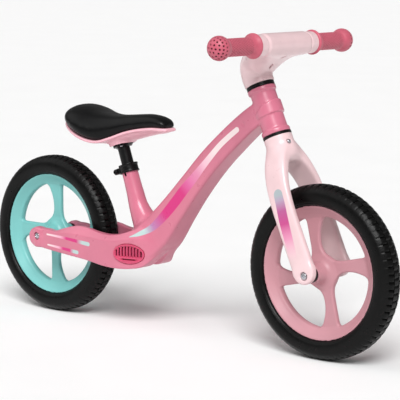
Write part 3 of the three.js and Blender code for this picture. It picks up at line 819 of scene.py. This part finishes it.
def vent_shape():
    """Oval grille with a raised rim, upright slots and a moulded lip below."""
    vent = Casting((-34, -20, -6), (34, 20, 6), 0.5, reach=5)
    vent.add(slab(oval(VENT_WIDE - VENT_GAP, VENT_TALL - VENT_GAP, sides=96), 3.6), rounding=0.5)
    vent.cut(moved(slab(oval(55.5, 28.5, 2.1, 96), 4), shift(0, 0.4, 2.8)), blend=0.6)
    slots = 9
    pitch = 6.1
    foot = -4.5
    for i in range(slots):
        x = (i - (slots - 1) / 2) * pitch
        top = 0.5 + 12.6 * math.sqrt(1 - (x / 27.5) ** 2)
        halfway = (top + foot) / 2
        vent.cut(block((3.9, top - foot, 14), (x, halfway, 0)), blend=0.5)
        if i < slots - 1:
            bar = block((1.3, top + 3, 1.2), (x + pitch / 2, halfway, 1.4))
            vent.add(bar, blend=0.8, rounding=0.4)
    vent.add(block((32, 1.8, 2), (0, -7, 1.6)), blend=0.8, rounding=0.5)
    vent.cut(block((26, 1.9, 14), (0, -10, 0)), blend=0.5)
    vent.add(block((28, 1.2, 1.6), (0, -12.4, 1.8)), blend=1, rounding=0.5)
    return vent.shape()


def add_vents():
    right = moved(vent_shape(), vent_place())
    for side, shape in (("right", right), ("left", mirrored(right))):
        make(f"vent_grille_{side}", shape, "vent_pink", "frame_body", f"vent_cover_{side}")


# ---- fork and stem

def fork_blade(rounding):
    """One side of the fork, from the crown out and down to the axle."""
    return loft([
        [0, 0, 210, 46, 26], [0, -14, 203, 46, 24], [0, -29, 184, 45, 19.5], [0, -40, 157, 43.5, 16.5],
        [0, -45, 127, 42.5, 15], [0, -BLADE_Y, 95, 42, 14.5], [0, -BLADE_Y, 50, 42, 14.5],
        [0, -BLADE_Y, 7, 42, 14.5]],
        (1, 0, 0), squareness=5, steps=70, core=rounding)


def fork_shape():
    rounding = 4
    fork = Casting((-30, -58, -18), (30, 58, 240), 1.0)
    fork.add(turned([
        (0, 184), (17, 185), (24.5, 198), (25, 210), (24.2, 222), (24.2, CROWN_TOP), (0, CROWN_TOP)]))
    fork.add_both(fork_blade(rounding), blend=9, rounding=rounding)
    tip = shift(0, -BLADE_Y, 7) @ ALONG_Y
    fork.add_both(moved(blade_end(21 - rounding, rounding), tip), blend=3, rounding=rounding)
    fork.cut(moved(slab(arch_outline(), 80), FACING_AHEAD), blend=5)
    fork.cut(rod(STEERER_RADIUS + CLEAR, 190, 260))
    bore_for_axle(fork, ALONG_Y)
    fork.cut(moved(rod(4, -3, 4), crown_screw_place()), blend=1)
    return fork.shape()


def arch_outline():
    """The opening between the blades, as (minus height, across)."""
    half = curve([(187, 0), (184.5, 10), (177, 20), (162, 30), (138, 36.5), (106, 39.3),
                  (60, 39.5), (-30, 39.5)], 50)
    return [(-s, y) for s, y in half] + [(-s, -y) for s, y in half[:0:-1]]


def crown_screw_place():
    return Matrix.Rotation(-0.25, 4, "Z") @ shift(25.2, 0, 220) @ FACING_AHEAD


FORK_STRIPE = [[2.5, 139, 9], [1.5, 120, 9.6], [-1.5, 96, 9.8], [-4.5, 66, 9.2], [-8, 28, 8]]
FORK_INKS = [
    [0, srgb("a9b4b8")], [0.14, srgb("b49db6")], [0.34, srgb("b5538f")], [0.55, srgb("c43f86")],
    [0.75, srgb("e27fae", 0.8)], [1, srgb("f0b9cc", 0)]]


def add_fork():
    piece = make_casting("fork_casting", fork_shape(), "pale_pink", "steering", "fork", STEERING)
    points = points_of(piece, STEERING)
    outside = abs(points[:, 1]) > BLADE_Y - 3
    paint_stripes(piece, points, outside, [(FORK_STRIPE, FORK_INKS)])


# Clamp screws by how far ahead, how high and how far leant over they are.
STEM_SCREWS = ((64, 353.4, 3.0), (33, 351, 2.75))


def stem_screw_place(ahead, height, lean):
    return shift(ahead, 0, height) @ Matrix.Rotation(lean, 4, "Y")


def stem_shape():
    """Neck that widens into a barrel round the bar, with a groove near each end."""
    stem = Casting((-32, -80, 324), (96, 80, 396), 0.9)
    stem.add(loft([
        [0, 0, 328.4, 48.5, 48.5], [0, 0, 343, 50, 50], [8, 0, 359, 66, 49], [33, 0, 368.5, 102, 41],
        [60, 0, 371, 132, 37], [BAR.x, 0, BAR.z, 140, 33]],
        (0, 1, 0), squareness=2.3, steps=60))
    barrel = both_ends([(19.4, 52.5), (18.4, 53.5), (18.4, STEM_HALF), (0, STEM_HALF)])
    stem.add(moved(turned(barrel), ALONG_BAR), blend=7)
    for centre in (-STEM_GROOVE, STEM_GROOVE):
        stem.cut(moved(turned(pipe(17.2, 26, centre - 1, centre + 1)), ALONG_BAR), blend=0.8)
    stem.cut(rod(STEERER_RADIUS + CLEAR, 300, STEERER_TOP + 0.5))
    stem.cut(moved(rod(BAR_RADIUS + CLEAR, -100, 100), ALONG_BAR))
    for place in STEM_SCREWS:
        slot = slab(oval(11, 6, 3), 20)
        stem.cut(moved(slot, stem_screw_place(*place) @ shift(0, 0, 8)), blend=1)
    return stem.shape()


def add_stem():
    piece = make_casting("stem_casting", stem_shape(), "pale_pink", "steering", "stem", STEERING)
    points = points_of(piece)
    paint_stripes(piece, points, np.zeros(len(points), bool), [])


def screw(radius, shank, head_radius, head_tall):
    """Button-head screw with a hexagon socket, its shank pointing along -Z."""
    voxel = head_radius / 22
    body = Casting((-head_radius - 1, -head_radius - 1, -shank - 1),
                   (head_radius + 1, head_radius + 1, head_tall + 1), voxel, reach=voxel * 5)
    dome = curve([(head_radius, head_tall * 0.25), (head_radius * 0.85, head_tall * 0.72),
                  (head_radius * 0.5, head_tall)], 12)
    outline = [(0, 0), (head_radius * 0.96, 0)] + [tuple(row) for row in dome] + [(0, head_tall)]
    body.add(turned(outline, 64))
    body.add(rod(radius, -shank, 0.5), blend=voxel)
    socket = rod(head_radius * 0.42, head_tall * 0.35, head_tall + 2, 6)
    body.cut(socket, blend=voxel * 1.5)
    return body.shape()


def add_steering_screws():
    make("crown_button", screw(2, 8, 3.4, 2), "steel", "steering", "crown_screw",
         STEERING @ crown_screw_place())
    sunk = shift(0, 0, -1)
    for i, place in enumerate(STEM_SCREWS, 1):
        make(f"stem_socket_screw_{i}", screw(1.9, 6, 2.6, 1.6), "black_metal", "steering",
             f"stem_screw_{i}", STEERING @ stem_screw_place(*place) @ sunk)


def add_headset_rings():
    """The black rings at each end of the head tube, with a fine groove round each."""
    inner = STEERER_RADIUS + 0.3
    for name, radius, (low, high) in (("lower", 24.6, LOWER_RING), ("upper", 24, UPPER_RING)):
        groove = (low + high) / 2
        outline = [(inner, low), (radius, low), (radius, groove - 0.4), (radius - 0.7, groove),
                   (radius, groove + 0.4), (radius, high), (inner, high)]
        make(f"headset_ring_{name}", turned(rounded(outline, 0.6)), "black_plastic", "steering",
             f"head_ring_{name}", STEERING)


def add_head_bearings():
    face = [(STEERER_RADIUS + 0.3, 0), (15, 0), (15.2, 0.4), (17, 0.4), (17.2, 0),
            (HEAD_BEARING_RADIUS, 0)]
    ring = turned(rounded(bearing(face), 0.3))
    for name, low in (("lower", HEAD_LOW + 0.4), ("upper", HEAD_HIGH - 7.4)):
        make(f"headset_bearing_{name}", ring, "steel", "frame_body", f"head_bearing_{name}",
             STEERING @ shift(0, 0, low))


def bearing(face):
    """The half section of a shielded bearing, from the points along one face."""
    return face + [(r, BEARING_WIDE - h) for r, h in face[::-1]]


def add_steering_tubes():
    steerer = pipe(STEERER_RADIUS - 1.6, STEERER_RADIUS, STEERER_LOW, STEERER_TOP)
    make("steerer", turned(rounded(steerer, 0.5)), "steel", "steering", "steerer_tube", STEERING)
    bar = pipe(BAR_RADIUS - 1.5, BAR_RADIUS, -BAR_HALF, BAR_HALF)
    make("bar_tube", turned(rounded(bar, 0.5)), "steel", "steering", "handlebar", STEERING @ ALONG_BAR)


# ---- wheels

def bend(start, pull, end, count=12):
    """Points on the curve from start to end that leans towards `pull`."""
    t = np.linspace(0, 1, count)[:, None]
    return (1 - t) ** 2 * np.array(start) + 2 * t * (1 - t) * np.array(pull) + t ** 2 * np.array(end)


def window(hand):
    """The opening between two spokes: straight along one, bowed along the next,
    with wide corners at the hub and tight ones at the rim."""
    corner = 0.05
    first = math.asin(SPOKE_STRAIGHT / WINDOW_RADIUS) + corner
    last = math.acos(SPOKE_FLARE / WINDOW_RADIUS) - corner
    arc = [(WINDOW_RADIUS * math.cos(t), WINDOW_RADIUS * math.sin(t)) for t in np.linspace(first, last, 20)]
    outline = bend((47, SPOKE_STRAIGHT), (29, SPOKE_STRAIGHT), (20, 22)).tolist()[::-1]
    outline += bend((82, SPOKE_STRAIGHT), (90.5, SPOKE_STRAIGHT), arc[0], 6).tolist() + arc
    outline += bend(arc[-1], (SPOKE_FLARE - 1, 89), (16, 82), 6).tolist()
    outline += bend((14.5, 79), (5, 62), (6, 44)).tolist()
    outline += bend((6, 44), (7, 30), (20, 22)).tolist()[1:-1]
    outline = np.array(outline)
    return outline if hand > 0 else outline[::-1, ::-1]


def rim_shape(hand):
    """Channel ring with dished walls, a web with four windows, and a hub that
    swells into it."""
    rim = Casting((-114, -114, -32), (114, 114, 32), 1.0, reach=16)
    rim.add(turned(both_ends([
        (CHANNEL, CHANNEL_HALF), (109.6, 13.4), (110.4, RIM_HALF - 0.6), (RIM_EDGE, RIM_HALF),
        (108.8, RIM_HALF), (104, 13.2), (98, 8.4), (WINDOW_RADIUS, 5.2)]), 180))
    rim.add(rod(97, -4.6, 4.6, 128), blend=3)
    for i in range(4):
        opening = moved(slab(window(hand), 60), Matrix.Rotation(i * TURN / 4, 4, "Z"))
        rim.cut(opening, blend=4)
    hub = both_ends([(25, 4), (21, 8), (17.5, 13), (15.2, 22), (14, HUB_HALF), (0, HUB_HALF)])
    rim.add(turned(hub), blend=8)
    rim.cut(rod(8, -40, 40))
    for low, high in ((-40, -22.5), (22.5, 40)):
        rim.cut(rod(BEARING_RADIUS + 0.3, low, high))
    return rim.shape()


TREAD_PITCHES = 72


def tread_height(share, across):
    """Height of the tread, 0 in a groove to 1 on a knob, at a share of the pitch
    and a distance across from the middle. The middle row's knobs lie on the pitch
    lines and the next row's between them. Fine sipes cross the shoulder."""
    from_line = abs((share + 0.5) % 1 - 0.5)
    if across <= 5.6:
        return 1 - max(0, from_line / 0.4 - 0.4) ** 2
    if 7 <= across <= 14.8:
        return 1 - max(0, 1 - from_line / 0.3) ** 2
    if 15.4 <= across <= 20:
        return min(1, 0.4 + 4 * from_line)
    return 0.0 if across < 7 else 1.0


def tyre_profile():
    """Rows of (radius, across, depth of groove) from one bead to the other."""
    flank = curve([(103.4, 10.6), (108.2, 13), (111.7, 17.2), (112.6, 19.6), (116, 22.2),
                   (122, 23.4), (127.5, 23.3), (131.5, 22.6)], 26)
    rows = [(r, y - 0.7 * (abs(r - 115.4) < 0.9), 0.0) for r, y in flank]
    edges = (22, 20.6, 19.6, 18.6, 16.4, 15.6, 14.6, 13.6, 10.5, 7.6, 7.1, 5.8, 5.3, 2.6)
    for across in edges:
        radius = TYRE_RADIUS - 12.4 * (across / 22.6) ** 3.2
        rows.append((radius, across, 2.8 if across < 15 else 0.9))
    rows.append((TYRE_RADIUS, 0.0, 2.6))
    return rows + [(r, -y, depth) for r, y, depth in rows[-2::-1]]


def tyre_shape():
    """The tread goes round pitch by pitch, its lugs swept back a little at the sides."""
    lines = (0, 0.06, 0.12, 0.18, 0.25, 0.32, 0.38, 0.44,
             0.5, 0.56, 0.62, 0.68, 0.75, 0.82, 0.88, 0.94)
    rows = tyre_profile()
    rings = []
    for pitch in range(TREAD_PITCHES):
        for line in lines:
            ring = []
            for radius, across, depth in rows:
                turn = (pitch + line) * TURN / TREAD_PITCHES + 0.105 * abs(across) / TYRE_RADIUS
                r = radius - depth * (1 - tread_height(line, abs(across)))
                ring.append((r * math.cos(turn), r * math.sin(turn), across))
            rings.append(ring)
    rings.append(rings[0])
    return skin(rings, closed=False)


def add_wheel(end, body, centre, hand, spin, slot):
    flat = centre @ FLAT_ON_SIDE
    turned_to = flat @ Matrix.Rotation(spin, 4, "Z")
    make(f"{end}_wheel_rim", rim_shape(hand), slot, body, f"{end}_rim", turned_to)
    make(f"{end}_wheel_tyre", tyre_shape(), "tyre_foam", body, f"{end}_tyre", flat)
    along = centre @ ALONG_Y
    face = [(BEARING_BORE, 0.4), (4.6, 0), (6.4, 0), (6.6, 0.4), (8.8, 0.4), (9.0, 0), (10.6, 0),
            (BEARING_RADIUS, 0.4)]
    for side, low in (("right", -29.7), ("left", 22.7)):
        make(f"{end}_ball_bearing_{side}", turned(bearing(face), 64), "steel", body,
             f"{end}_bearing_{side}", along @ shift(0, 0, low))
    sleeve = pipe(BEARING_BORE, 6, -22.4, 22.4)
    make(f"{end}_sleeve", turned(rounded(sleeve, 0.4), 48), "steel", body, f"{end}_hub_sleeve", along)


def add_axle(end, body, centre):
    along = centre @ ALONG_Y
    axle = pipe(0, AXLE_RADIUS, -AXLE_HALF, AXLE_HALF)
    make(f"{end}_axle_rod", turned(rounded(axle, 0.6), 48), "steel", body, f"{end}_axle", along)
    low, high = HUB_HALF + 0.3, BLADE_INNER - 0.3
    spacer = [(BEARING_BORE, low), (SPACER_RADIUS - 1.5, low), (SPACER_RADIUS, low + 1.5),
              (SPACER_RADIUS, high - 2), (SPACER_RADIUS - 2, high), (BEARING_BORE, high)]
    bolt = screw(2.5, 15, BOLT_HEAD_RADIUS, BOLT_HEAD_TALL)
    bolt_seat = shift(0, 0, BLADE_OUTER - BOLT_RECESS_DEEP + 0.3)
    for side, turn in SIDES:
        make(f"{end}_axle_spacer_{side}", turned(rounded(spacer, 0.7)), "black_plastic", body,
             f"{end}_spacer_{side}", along @ turn)
        make(f"{end}_button_bolt_{side}", bolt, "steel", body, f"{end}_axle_bolt_{side}",
             along @ turn @ bolt_seat)


# ---- grips

def grip_outline():
    """Radius by place along the grip: flange, waist, tube and ball."""
    flange = [(18.2, 0), (20.6, 1.6), (20.9, 3.6), (19.6, 5.6), (17, 9), (15.2, 13), (GRIP_RADIUS, 17)]
    rows = [(BAR_RADIUS + 0.3, GRIP_START)]
    rows += [(r, GRIP_START + h) for r, h in curve(flange, 22)]
    rows += [(GRIP_RADIUS, h) for h in np.linspace(GRIP_START + 17.6, BALL_Y - 15, 84)]
    neck = math.pi - math.asin(GRIP_RADIUS / BALL_RADIUS)
    turns = np.linspace(neck - 0.09, 0, 64)
    return rows + [(BALL_RADIUS * math.sin(t), BALL_Y + BALL_LONG * math.cos(t)) for t in turns]


def ball_holes():
    """Rings of holes round the tip of the ball, as (angle off the tip, turn)."""
    holes = [(0.0, 0.0)]
    for ring, count in enumerate((6, 12, 18, 20), 1):
        holes += [(0.36 * ring, (k + 0.5 * (ring % 2)) * TURN / count) for k in range(count)]
    return holes


def ball_sink(tip, turn, holes):
    """How far the ball is sunk at a point, from the nearest of its holes."""
    depth = 0.0
    for hole_tip, hole_turn in holes:
        cosine = (math.cos(tip) * math.cos(hole_tip)
                  + math.sin(tip) * math.sin(hole_tip) * math.cos(turn - hole_turn))
        gap = BALL_RADIUS * math.acos(max(-1.0, min(1.0, cosine)))
        depth = max(depth, HOLE_DEEP * max(0.0, min(1.0, (HOLE_RADIUS - gap) / 0.6)))
    return depth


def dimple_sink(turn, along):
    """How far the tube is sunk at a point, every other row shifted half a pitch."""
    pitch = np.array([TURN * GRIP_RADIUS / DIMPLES_ROUND, DIMPLE_PITCH])
    odd = math.floor(along / DIMPLE_PITCH) % 2
    place = np.array([turn * GRIP_RADIUS + odd * pitch[0] / 2, along - DIMPLE_PITCH / 2])
    off = ((place / pitch + 0.5) % 1 - 0.5) * pitch
    return DIMPLE_DEEP * max(0.0, 1 - math.hypot(*off) / DIMPLE_RADIUS) ** 0.5


def pressed(radius, height, turn, holes):
    """A point of the grip, pushed in where it lies in a hole or a dimple."""
    if height > BALL_Y - 12.3:
        tip = math.atan2(radius / BALL_RADIUS, (height - BALL_Y) / BALL_LONG)
        sink = ball_sink(tip, turn, holes)
        radius -= sink * math.sin(tip)
        height -= sink * math.cos(tip)
    elif DIMPLES_FROM < height < DIMPLES_TO:
        radius -= dimple_sink(turn, height - DIMPLES_FROM)
    return radius * math.cos(turn), radius * math.sin(turn), height


def grip_shape():
    """A moulded grip: rows of dimples on the tube, and small holes in the ball."""
    holes = ball_holes()
    bore = [(BAR_RADIUS + 0.3, BAR_HALF + 0.3), (BAR_RADIUS + 0.3, GRIP_START)]
    turns = [i * TURN / GRIP_SIDES for i in range(GRIP_SIDES)]
    rings = [[(r * math.cos(turn), r * math.sin(turn), h) for turn in turns] for r, h in bore]
    rings += [[pressed(r, h, turn, holes) for turn in turns] for r, h in grip_outline()]
    return skin(rings)


def shade_hollows(piece, points):
    """Store how deep each point of a grip lies in a dimple or ball hole, which its rubber paints as shade.
    """
    out = np.hypot(points[:, 0], points[:, 1])
    along = points[:, 2]
    tube = (along > DIMPLES_FROM) & (along < BALL_Y - 16)
    ball = along > BALL_Y - 11
    depth = np.where(tube, (GRIP_RADIUS - out) / 2.4, 0)
    share = np.hypot(out / BALL_RADIUS, (along - BALL_Y) / BALL_LONG)
    depth = np.where(ball & (along < BALL_Y + 19), (1 - share) * BALL_RADIUS / 2.4, depth)
    in_bore = out < BAR_RADIUS + 0.6
    depth[in_bore] = np.where(ball, depth, 0)[in_bore]
    store(piece, "hollow_shade", "FLOAT", np.clip(depth, 0, 1))


def add_grips():
    shape = grip_shape()
    for side, turn in SIDES:
        place = STEERING @ ALONG_BAR @ turn
        piece = make(f"ball_grip_{side}", shape, "grip_rubber", "steering", f"grip_{side}",
                     place, SOFT_CRISP_FROM)
        shade_hollows(piece, points_of(piece, place))


# ---- seat

# Rows of [x, top, border, half width]: the border is where the pad meets its tray,
# and the base's depth is how far the tray hangs below it.
SADDLE = [
    [-257, 373, 363, 16], [-252, 383, 361, 33], [-242, 389, 357, 47], [-228, 390.5, 350.5, 57.5],
    [-208, 385.5, 341, 62.5], [-186, 378.5, 333.5, 60.5], [-164, 375, 331.3, 53],
    [-140, 374, 338.5, 43], [-112, 376, 349, 34], [-84, 378.5, 355.5, 28.5],
    [-56, 380, 359, 24.5], [-36, 376.5, 359, 21], [-27, 369, 358.5, 14]]
BASE_DEPTH = [4, 6, 8, 9, 9, 9, 9, 13.5, 18, 17, 13.5, 10, 6]
BORDER_GAP = 0.3
TUCK = math.radians(35)
PAD_INSET = 1.2
PAD_SWELL = 2.5
PAD_MIDDLE = -142
PAD_LENGTH = 260


def dome(wide, tall, tuck, sides):
    """Flat on one side and domed on the other, the dome curling in at its foot."""
    lift = tall / (1 + math.sin(tuck))
    turns = np.linspace(-tuck, math.pi + tuck, sides)
    return [(wide / 2 * math.cos(t), lift * (math.sin(t) + math.sin(tuck))) for t in turns]


def cushion_shape(inset):
    """The foam of the saddle, `inset` millimetres inside its finished surface."""
    rings = []
    for x, top, border, half in curve(SADDLE, 90):
        outline = dome(2 * (half - inset), top - border - 1.2 * inset, TUCK, 49)
        x += (PAD_MIDDLE - x) * inset / PAD_LENGTH
        rings.append([(x, a, border + BORDER_GAP + b) for a, b in outline])
    return skin(rings)


def inflate(piece, cap):
    """Swell a pad a little with cloth pressure, no point moving past the cap."""
    mesh = piece.data
    before = np.empty(len(mesh.vertices) * 3, np.float32)
    mesh.vertices.foreach_get("co", before)
    cloth = piece.modifiers.new("swell", "CLOTH")
    cloth.settings.use_pressure = True
    cloth.settings.uniform_pressure_force = 4
    cloth.settings.tension_stiffness = 5
    cloth.settings.bending_stiffness = 8
    cloth.settings.effector_weights.gravity = 0
    scene = bpy.context.scene
    for step in range(1, 21):
        scene.frame_set(step)
    shown = piece.evaluated_get(bpy.context.evaluated_depsgraph_get())
    after = np.empty(len(before), np.float32)
    shown.to_mesh().vertices.foreach_get("co", after)
    shown.to_mesh_clear()
    piece.modifiers.remove(cloth)
    scene.frame_set(1)
    push = (after - before).reshape(-1, 3)
    length = np.maximum(np.linalg.norm(push, axis=1), 1e-9)
    push *= np.minimum(1, cap * MM / length)[:, None]
    mesh.vertices.foreach_set("co", (before.reshape(-1, 3) + push).ravel())
    mesh.update()


def add_cushion():
    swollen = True
    inset = PAD_INSET if swollen else 0
    piece = make("saddle_pad", cushion_shape(inset), "saddle_cover", "seat", "saddle_cushion")
    apply_modifier(piece, "REMESH", mode="VOXEL", voxel_size=4 * MM)
    if swollen:
        inflate(piece, PAD_SWELL)
    apply_modifier(piece, "SMOOTH", factor=0.5, iterations=4)
    apply_modifier(piece, "SUBSURF", levels=1)
    keep_above_base(piece)
    piece.data.shade_smooth()


def keep_above_base(piece):
    """Rest the pad on the base's rim: nothing hangs below the border line."""
    rows = curve(SADDLE, 200)
    points = points_of(piece)
    border = np.interp(points[:, 0], rows[:, 0], rows[:, 2]) + BORDER_GAP
    points[:, 2] = np.maximum(points[:, 2], border)
    piece.data.vertices.foreach_set("co", (points * MM).astype(np.float32).ravel())


def base_shape():
    """Moulded tray under the pad, with a rounded lip and a boss for the post."""
    tray = Casting((-262, -60, 318), (-18, 60, 374), 1.0, reach=10)
    rows = curve(np.column_stack([np.array(SADDLE, float), BASE_DEPTH]), 90)
    belly, lip = [], []
    for x, _, border, half, depth in rows:
        wide = 2 * (half * math.cos(TUCK) + 2.6)
        belly.append([(x, -a, border - 2 - b) for a, b in dome(0.84 * wide, depth - 2, 0, 33)])
        lip.append([(x, -a, border - 3.2 - b) for a, b in oval(wide - 4, 2, 4, 32)])
    tray.add(skin(belly))
    tray.add(skin(lip), blend=1.5, rounding=2)
    boss = [(0, POST_HIGH - 1), (24, POST_HIGH - 1), (20, POST_HIGH + 14), (0, POST_HIGH + 14)]
    tray.add(moved(turned(boss), SEAT), blend=8)
    tray.cut(moved(rod(FLANGE_RADIUS + 3, POST_HIGH - 40, POST_HIGH + 0.3), SEAT), blend=2)
    return tray.shape()


def add_seat():
    add_cushion()
    make("saddle_tray", base_shape(), "saddle_pink", "seat", "saddle_base")
    inner = POST_RADIUS - 2
    post = [(0, POST_HIGH), (0, POST_HIGH - 8), (inner, POST_HIGH - 8), (inner, POST_LOW),
            (POST_RADIUS, POST_LOW), (POST_RADIUS, POST_HIGH - 5.5), (POST_RADIUS + 1.5, POST_HIGH - 4),
            (FLANGE_RADIUS, POST_HIGH - 4), (FLANGE_RADIUS, POST_HIGH)]
    make("seat_pillar", turned(rounded(post, 0.7)), "black_metal", "seat", "seat_post", SEAT)
    head = screw(2, 11, 2.8, 2)
    for i in range(3):
        turn = i * TURN / 3 + math.pi
        place = shift(14.4 * math.cos(turn), 14.4 * math.sin(turn), POST_HIGH - 4.3)
        make(f"saddle_button_screw_{i + 1}", head, "steel", "seat", f"saddle_screw_{i + 1}",
             SEAT @ place @ UPSIDE_DOWN)


def collar_shape(across):
    """Split collar with a stepped rim and two ears behind it."""
    collar = Casting((-34, -22, -4), (22, 22, 18), 0.45, reach=5)
    waist = COLLAR_RADIUS - 0.9
    outline = [(0, COLLAR_LOW), (COLLAR_RADIUS, COLLAR_LOW), (COLLAR_RADIUS, COLLAR_LOW + 2.6),
               (waist, COLLAR_LOW + 3.6), (waist, COLLAR_HIGH - 3.6),
               (COLLAR_RADIUS, COLLAR_HIGH - 2.6), (COLLAR_RADIUS, COLLAR_HIGH), (0, COLLAR_HIGH)]
    collar.add(turned(rounded(outline, 0.6)))
    collar.add(block((13, 16, 8), (-22, 0, COLLAR_MIDDLE)), blend=2.5, rounding=1)
    collar.cut(rod(15.2, COLLAR_LOW - 1, SEAT_TUBE_TOP + 0.3))
    collar.cut(rod(POST_RADIUS + CLEAR, COLLAR_LOW, COLLAR_HIGH + 1))
    collar.cut(block((30, 3.6, 40), (-28, 0, COLLAR_MIDDLE)))
    collar.cut(moved(rod(2.8, -20, 20), across))
    return collar.shape()


def nut_shape():
    nut = Casting((-6, -6, -1), (6, 6, 6), 0.25, reach=2)
    nut.add(rod(4.4, 0.4, 3.6, 6), rounding=0.4)
    nut.cut(rod(2.8, -1, 5))
    return nut.shape()


def add_clamp():
    across = shift(-24.5, 0, COLLAR_MIDDLE) @ ALONG_Y
    outward = shift(0, 0, 9.3)
    make("post_collar", collar_shape(across), "black_plastic", "frame_body", "seat_clamp", SEAT)
    make("collar_bolt", screw(2.5, 23, 4.6, 4), "black_metal", "frame_body", "seat_clamp_bolt",
         SEAT @ across @ UPSIDE_DOWN @ outward)
    make("collar_nut", nut_shape(), "black_metal", "frame_body", "seat_clamp_nut",
         SEAT @ across @ outward)


# ---- studio

FLOOR_WIDE = 80e3


def add_floor():
    look = Look("studio_floor")
    look.colour(look.mix(look.noise(3, 4), srgb("fbfbfb"), srgb("ffffff")))
    look.roughness(0.7, 0.85, look.noise(8, 3))
    look.bump(look.noise(400, 3), 0.02)
    points, faces = block((FLOOR_WIDE, FLOOR_WIDE, 10), (0, 0, -5.2))
    mesh = bpy.data.meshes.new("floor")
    mesh.from_pydata((points * MM).tolist(), [], faces)
    mesh.materials.append(look.material)
    placed("floor", mesh)


def add_sun(name, strength, angle, towards):
    """A wide soft light that shines from the direction `towards`."""
    light = bpy.data.lights.new(name, "SUN")
    light.energy = strength
    light.angle = math.radians(angle)
    sun = placed(name, light)
    sun.rotation_euler = Vector(towards).to_track_quat("Z", "Y").to_euler()


def add_light():
    world = bpy.data.worlds.new("studio")
    world.use_nodes = True
    background = world.node_tree.nodes["Background"]
    background.inputs["Color"].default_value = (1, 0.995, 0.99, 1)
    background.inputs["Strength"].default_value = 0.22
    bpy.context.scene.world = world
    add_sun("key", 2.9, 30, (0.45, -0.55, 0.7))
    add_sun("fill", 0.7, 60, (-0.5, -0.45, 0.75))
    bpy.context.scene.view_settings.view_transform = "Standard"


def add_camera():
    lens = bpy.data.cameras.new("camera")
    lens.lens = 157.84
    lens.sensor_width = 36
    lens.clip_end = 200
    camera = placed("camera", lens)
    camera.location = (1.9973, -2.2674, 0.6715)
    camera.rotation_euler = (math.radians(81.776), 0, math.radians(40.776))
    bpy.context.scene.camera = camera


# ---- the bike

add_frame()
add_vents()
add_fork()
add_stem()
add_steering_screws()
add_headset_rings()
add_steering_tubes()
add_head_bearings()
add_wheel("front", "front_wheel", AT_FRONT_AXLE, 1, FRONT_SPIN, "dusty_pink")
add_wheel("rear", "rear_wheel", AT_REAR_AXLE, -1, 0, "teal")
add_axle("front", "steering", AT_FRONT_AXLE)
add_axle("rear", "frame_body", AT_REAR_AXLE)
add_grips()
add_seat()
add_clamp()
add_floor()
add_light()
add_camera()
